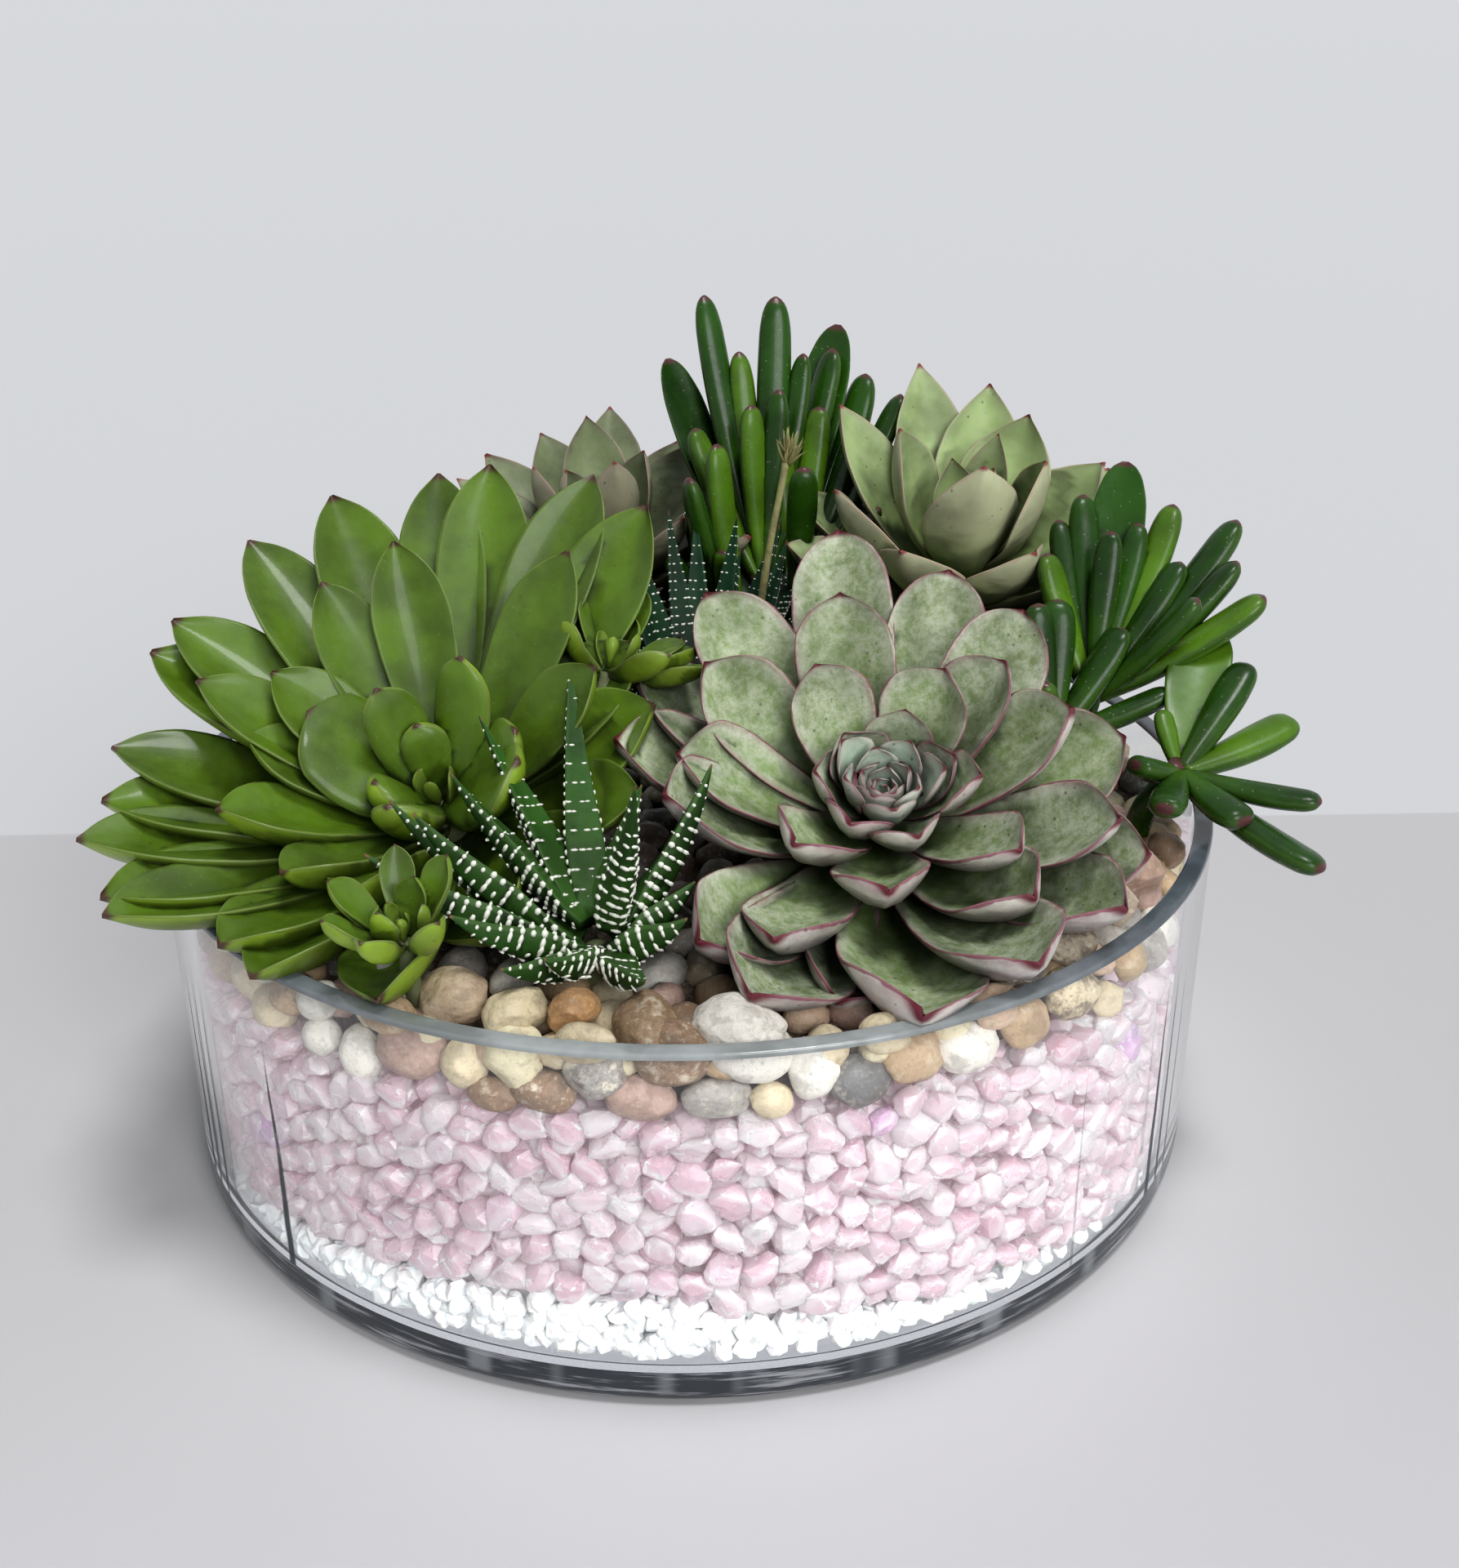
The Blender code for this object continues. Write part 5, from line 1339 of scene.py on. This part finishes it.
def foot_paint():
    """The thick foot of the dish is clear glass painted dark as painted shade, with paler streaks along it
    as painted highlights.
    """
    paint = Paint("smoked_foot")
    place = paint.split(paint.coords())
    azimuth = paint.math("ARCTAN2", place["Y"], place["X"])
    spot = paint.add("ShaderNodeCombineXYZ")
    paint.feed(spot.inputs[0], paint.math("MULTIPLY", azimuth, 6.0))
    paint.feed(spot.inputs[1], paint.math("MULTIPLY", place["Z"], 900.0))
    streak = paint.noise(1.0, 4.0, vector=spot.outputs[0], roughness=0.6)
    # Painted shade and highlight: dark glass with paler streaks.
    body = paint.mix(paint.remap(streak, 0.50, 0.66), (0.030, 0.035, 0.042), (0.30, 0.31, 0.33))
    block = paint.add("ShaderNodeCombineXYZ")
    paint.feed(block.inputs[0], paint.math("MULTIPLY", azimuth, 9.0))
    patch = paint.noise(1.0, 1.0, vector=block.outputs[0])
    patch = paint.math("MULTIPLY", paint.remap(patch, 0.54, 0.66), paint.remap(place["Z"], 0.0026, 0.0042))
    body = paint.mix(paint.math("MULTIPLY", patch, 0.6), body, (0.30, 0.32, 0.33))
    return paint.surface(body, 0.18, None, Specular_IOR_Level=0.25)


def rim_paint():
    """The cut rim, painted as painted reflection: pale grey in front, slate blue towards the sides."""
    paint = Paint("glass_rim")
    place = paint.split(paint.coords())
    # Painted reflection: the rim is paler towards the front of the dish and darker towards its sides.
    side = paint.remap(paint.math("ABSOLUTE", place["X"]), 0.030, 0.098)
    body = paint.mix(side, (0.31, 0.335, 0.335), (0.085, 0.105, 0.125))
    cloud = paint.noise(90.0, 3.0)
    body = paint.scaled(body, paint.remap(cloud, 0.3, 0.7, 0.75, 1.25))
    return paint.surface(body, 0.12)


def arc(x, z, radius, first, last, count):
    """Points on a round of the dish's profile, from the first to the last angle."""
    turns = [math.radians(first + (last - first) * i / count) for i in range(count + 1)]
    return [(x + radius * math.cos(a), z + radius * math.sin(a)) for a in turns]


def blow_dish():
    """The round glass dish with its soft corners, its cut rim and its thick foot, which is painted dark as
    painted shade; its underside glows as painted light.
    """
    edge = 0.7
    underside = [(30.0, 0.0), (70.0, 0.0), (105.0, 0.0), (116.0, 0.0)]
    foot = arc(DISH_RADIUS - 4, 4, 4, -90, 0, 8) + [(DISH_RADIUS, 9.0)]
    outside = [(DISH_RADIUS, z) for z in (9.8, 12, 20, 40, 60, 76, DISH_HEIGHT - edge - 0.5)]
    lip = (arc(DISH_RADIUS - edge, DISH_HEIGHT - edge, edge, 0, 90, 4)
           + arc(INNER + edge, DISH_HEIGHT - edge, edge, 90, 180, 4))
    inside = ([(INNER, z) for z in (DISH_HEIGHT - edge - 0.5, 76, 60, 40, 20, 11)]
              + arc(INNER - 1.2, 9.2, 1.2, 0, -90, 5) + [(105.0, 8.0), (70.0, 8.0), (30.0, 8.0)])
    parts = ((underside, 2), (foot, 1), (outside, 0), (lip, 3), (inside, 0))
    profile = [(p, finish) for part, finish in parts for p in part]
    sides = 144
    turns = [2 * math.pi * j / sides for j in range(sides)]
    points = [(r * math.cos(a) * MM, r * math.sin(a) * MM, z * MM) for (r, z), _ in profile for a in turns]
    points += [(0, 0, 0), (0, 0, 8 * MM)]
    faces, finishes = [], []
    for i in range(len(profile) - 1):
        for j in range(sides):
            a, b = i * sides + j, i * sides + (j + 1) % sides
            faces.append((a, b, b + sides, a + sides))
            finishes.append(profile[i if profile[i][1] in (2, 3) else i + 1][1])
    last = (len(profile) - 1) * sides
    for j in range(sides):
        faces += [(len(points) - 2, (j + 1) % sides, j), (len(points) - 1, last + j, last + (j + 1) % sides)]
        finishes += [2, 0]
    dish = mesh_object("glass_dish", points, faces, True)
    # Painted light: the underside is pale and glows, for light from the table that reaches it through the
    # glass.
    painted_table_light = Paint("pale_underside").surface(
        (0.80, 0.81, 0.82), 0.5, Emission_Color=(0.80, 0.82, 0.85), Emission_Strength=0.55)
    for material in (glass_paint(), foot_paint(), painted_table_light, rim_paint()):
        dish.data.materials.append(material)
    dish.data.polygons.foreach_set("material_index", finishes)
    settle(dish, "glass_bowl")


def dress_soil():
    """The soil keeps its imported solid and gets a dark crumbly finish."""
    paint = Paint("potting_soil")
    grain = paint.noise(380.0, 5.0)
    body = paint.mix(paint.remap(grain, 0.35, 0.7), (0.030, 0.021, 0.014), (0.13, 0.09, 0.06))
    soil = nodes["potting_soil"]
    soil.data.materials.clear()
    soil.data.materials.append(paint.surface(body, 0.95, paint.bump(grain, 0.0012, 0.7)))


def stem_paint(name, base, top):
    """Bark or straw that runs from the base colour to the top colour."""
    paint = Paint(name)
    fine = paint.noise(300.0, 4.0)
    body = paint.mix(paint.remap(paint.attribute("along"), 0.2, 0.95), base, top)
    body = paint.mix(paint.remap(fine, 0.45, 0.75, 0.0, 0.6), body, (0.10, 0.075, 0.045))
    return paint.surface(body, 0.7, paint.bump(fine, 0.0008, 0.5))


def raise_stalk():
    """The dry flower stalk and the frayed straw head at its tip."""
    straw = stem_paint("dry_straw", (0.20, 0.17, 0.05), (0.34, 0.33, 0.13))
    made = Leaves()
    made.add(*tube([(14, 12, 70), (15, 12, 95), (19, 13, 130), (24, 14, 158)],
                   [(0, 1.25), (0.5, 1.0), (0.9, 0.8), (1, 0.9)], 40, 12, 0.05, 6), same_place,
             tone=0.0, age=0.0)
    settle(made.piece("flower_stalk_skin", straw), "flower_stalk")
    made = Leaves()
    place = leaning((24.2, 14, 157), (8, 20))
    for k in range(26):
        length = 6.4 + 3.0 * chance(k, 3)
        rings, marks = leaf_body(TAPER, length, 1.5 + 0.6 * chance(k, 1), 0.4, 66 + 22 * chance(k, 5),
                                 24 * chance(k, 8), 0.0, 0.0, 0.0, 0.15 * chance(k, 2), steps=8, around=6)
        made.add(rings, marks, rooted(k * GOLDEN, 0.35, -0.5 + 3.0 * (k % 5) / 5, place), tone=chance(k, 6),
                 age=0.0)
    settle(made.piece("seed_head_straws", straw), "seed_head")


# ---------------------------------------------------------------- the garden

def grow_garden():
    """Every plant with its own paint, then the dry stalk."""
    woody = stem_paint("woody_stem", (0.11, 0.08, 0.05), (0.12, 0.15, 0.06))
    pink = leaf_paint("pink_edged_leaf", (0.36, 0.56, 0.42), (0.10, 0.18, 0.020), (0.130, 0.225, 0.036),
                      (0.52, 0.42, 0.44), (0.24, 0.060, 0.10), 0.36, (0.13, 0.018, 0.03),
                      (0.76, 0.77, 0.66), 0.60, 0.34, speck=0.2, flush=0.48, dirt=0.6, veins=0.45)
    green = leaf_paint("green_leaf", (0.13, 0.22, 0.014), (0.040, 0.085, 0.003), (0.076, 0.150, 0.004),
                       (0.220, 0.350, 0.014), (0.17, 0.24, 0.05), 0.20, (0.07, 0.035, 0.02),
                       (0.2, 0.27, 0.12), 0.10, 0.34, speck=0.10,
                       flush=0.12, dirt=0.3, gloss=0.16, shine=0.22)
    pale = leaf_paint("pale_leaf", (0.32, 0.46, 0.15), (0.26, 0.39, 0.08), (0.36, 0.50, 0.18),
                      (0.42, 0.43, 0.24), (0.44, 0.34, 0.25), 0.35, (0.24, 0.05, 0.05),
                      (0.50, 0.55, 0.38), 0.38, 0.42, speck=0.3, flush=0.22, dirt=0.6)
    grey = leaf_paint("grey_leaf", (0.20, 0.27, 0.11), (0.13, 0.165, 0.06), (0.18, 0.23, 0.10),
                      (0.25, 0.225, 0.14), (0.30, 0.22, 0.18), 0.4, (0.22, 0.05, 0.05),
                      (0.33, 0.36, 0.25), 0.40, 0.42, speck=0.2, flush=0.3, dirt=0.5)
    dark = leaf_paint("haworthia_leaf", (0.04, 0.12, 0.015), (0.030, 0.09, 0.012), (0.022, 0.078, 0.009),
                      (0.015, 0.052, 0.007), (0.05, 0.11, 0.03), 0.2, (0.16, 0.10, 0.05),
                      (0.3, 0.4, 0.3), 0.0, 0.42, dirt=0.0, shine=0.10)
    # The back haworthia: its own dark green, painted darker still as painted shade between the larger
    # plants.
    back_dark_shaded = leaf_paint("back_haworthia_leaf", (0.012, 0.04, 0.018), (0.008, 0.026, 0.012),
                       (0.009, 0.034, 0.014), (0.008, 0.030, 0.012), (0.02, 0.05, 0.03), 0.2,
                       (0.10, 0.06, 0.03), (0.3, 0.4, 0.3), 0.0, 0.40, dirt=0.0, shine=0.08)
    finger = leaf_paint("crassula_leaf", (0.085, 0.19, 0.008), (0.035, 0.105, 0.003), (0.013, 0.058, 0.002),
                        (0.019, 0.074, 0.003), (0.035, 0.09, 0.010), 0.2, (0.085, 0.030, 0.028),
                        (0.4, 0.5, 0.3), 0.0, 0.24, speck=0.25, dirt=0.3, gloss=0.12, veins=0.2, shine=0.18)
    enamel = Paint("wart_white").surface((0.84, 0.86, 0.76), 0.5)
    bands = Warts(enamel, 2.3, 8, (1.40, 0.56, 0.36), (0.85, 0.72, 0.48), 0.30)
    dots = Warts(enamel, 2.3, 6, (0.62, 0.34, 0.26), (0.55, 0.40, 0.28), 0.88)
    for plant, skin, warts in ((PINK, pink, None), (GREEN, green, None), (PALE, pale, None),
                               (GREY, grey, None), (OFFSET_FRONT, green, None),
                               (OFFSET_RIGHT, green, None), (HAWORTHIA_FRONT, dark, bands),
                               (HAWORTHIA_BACK, back_dark_shaded, dots)):
        plant_rosette(plant, skin, warts)
        plant_stem(plant, woody)
    plant_crassula(CRASSULA_BACK, finger)
    plant_crassula(CRASSULA_RIGHT, finger)
    raise_stalk()
    find_hollows([body for body in bpy.data.objects
                  if body.type == "MESH" and "margin" in body.data.attributes])


set_stage()
aim_camera()
grow_garden()
fill_dish()
dress_soil()
blow_dish()
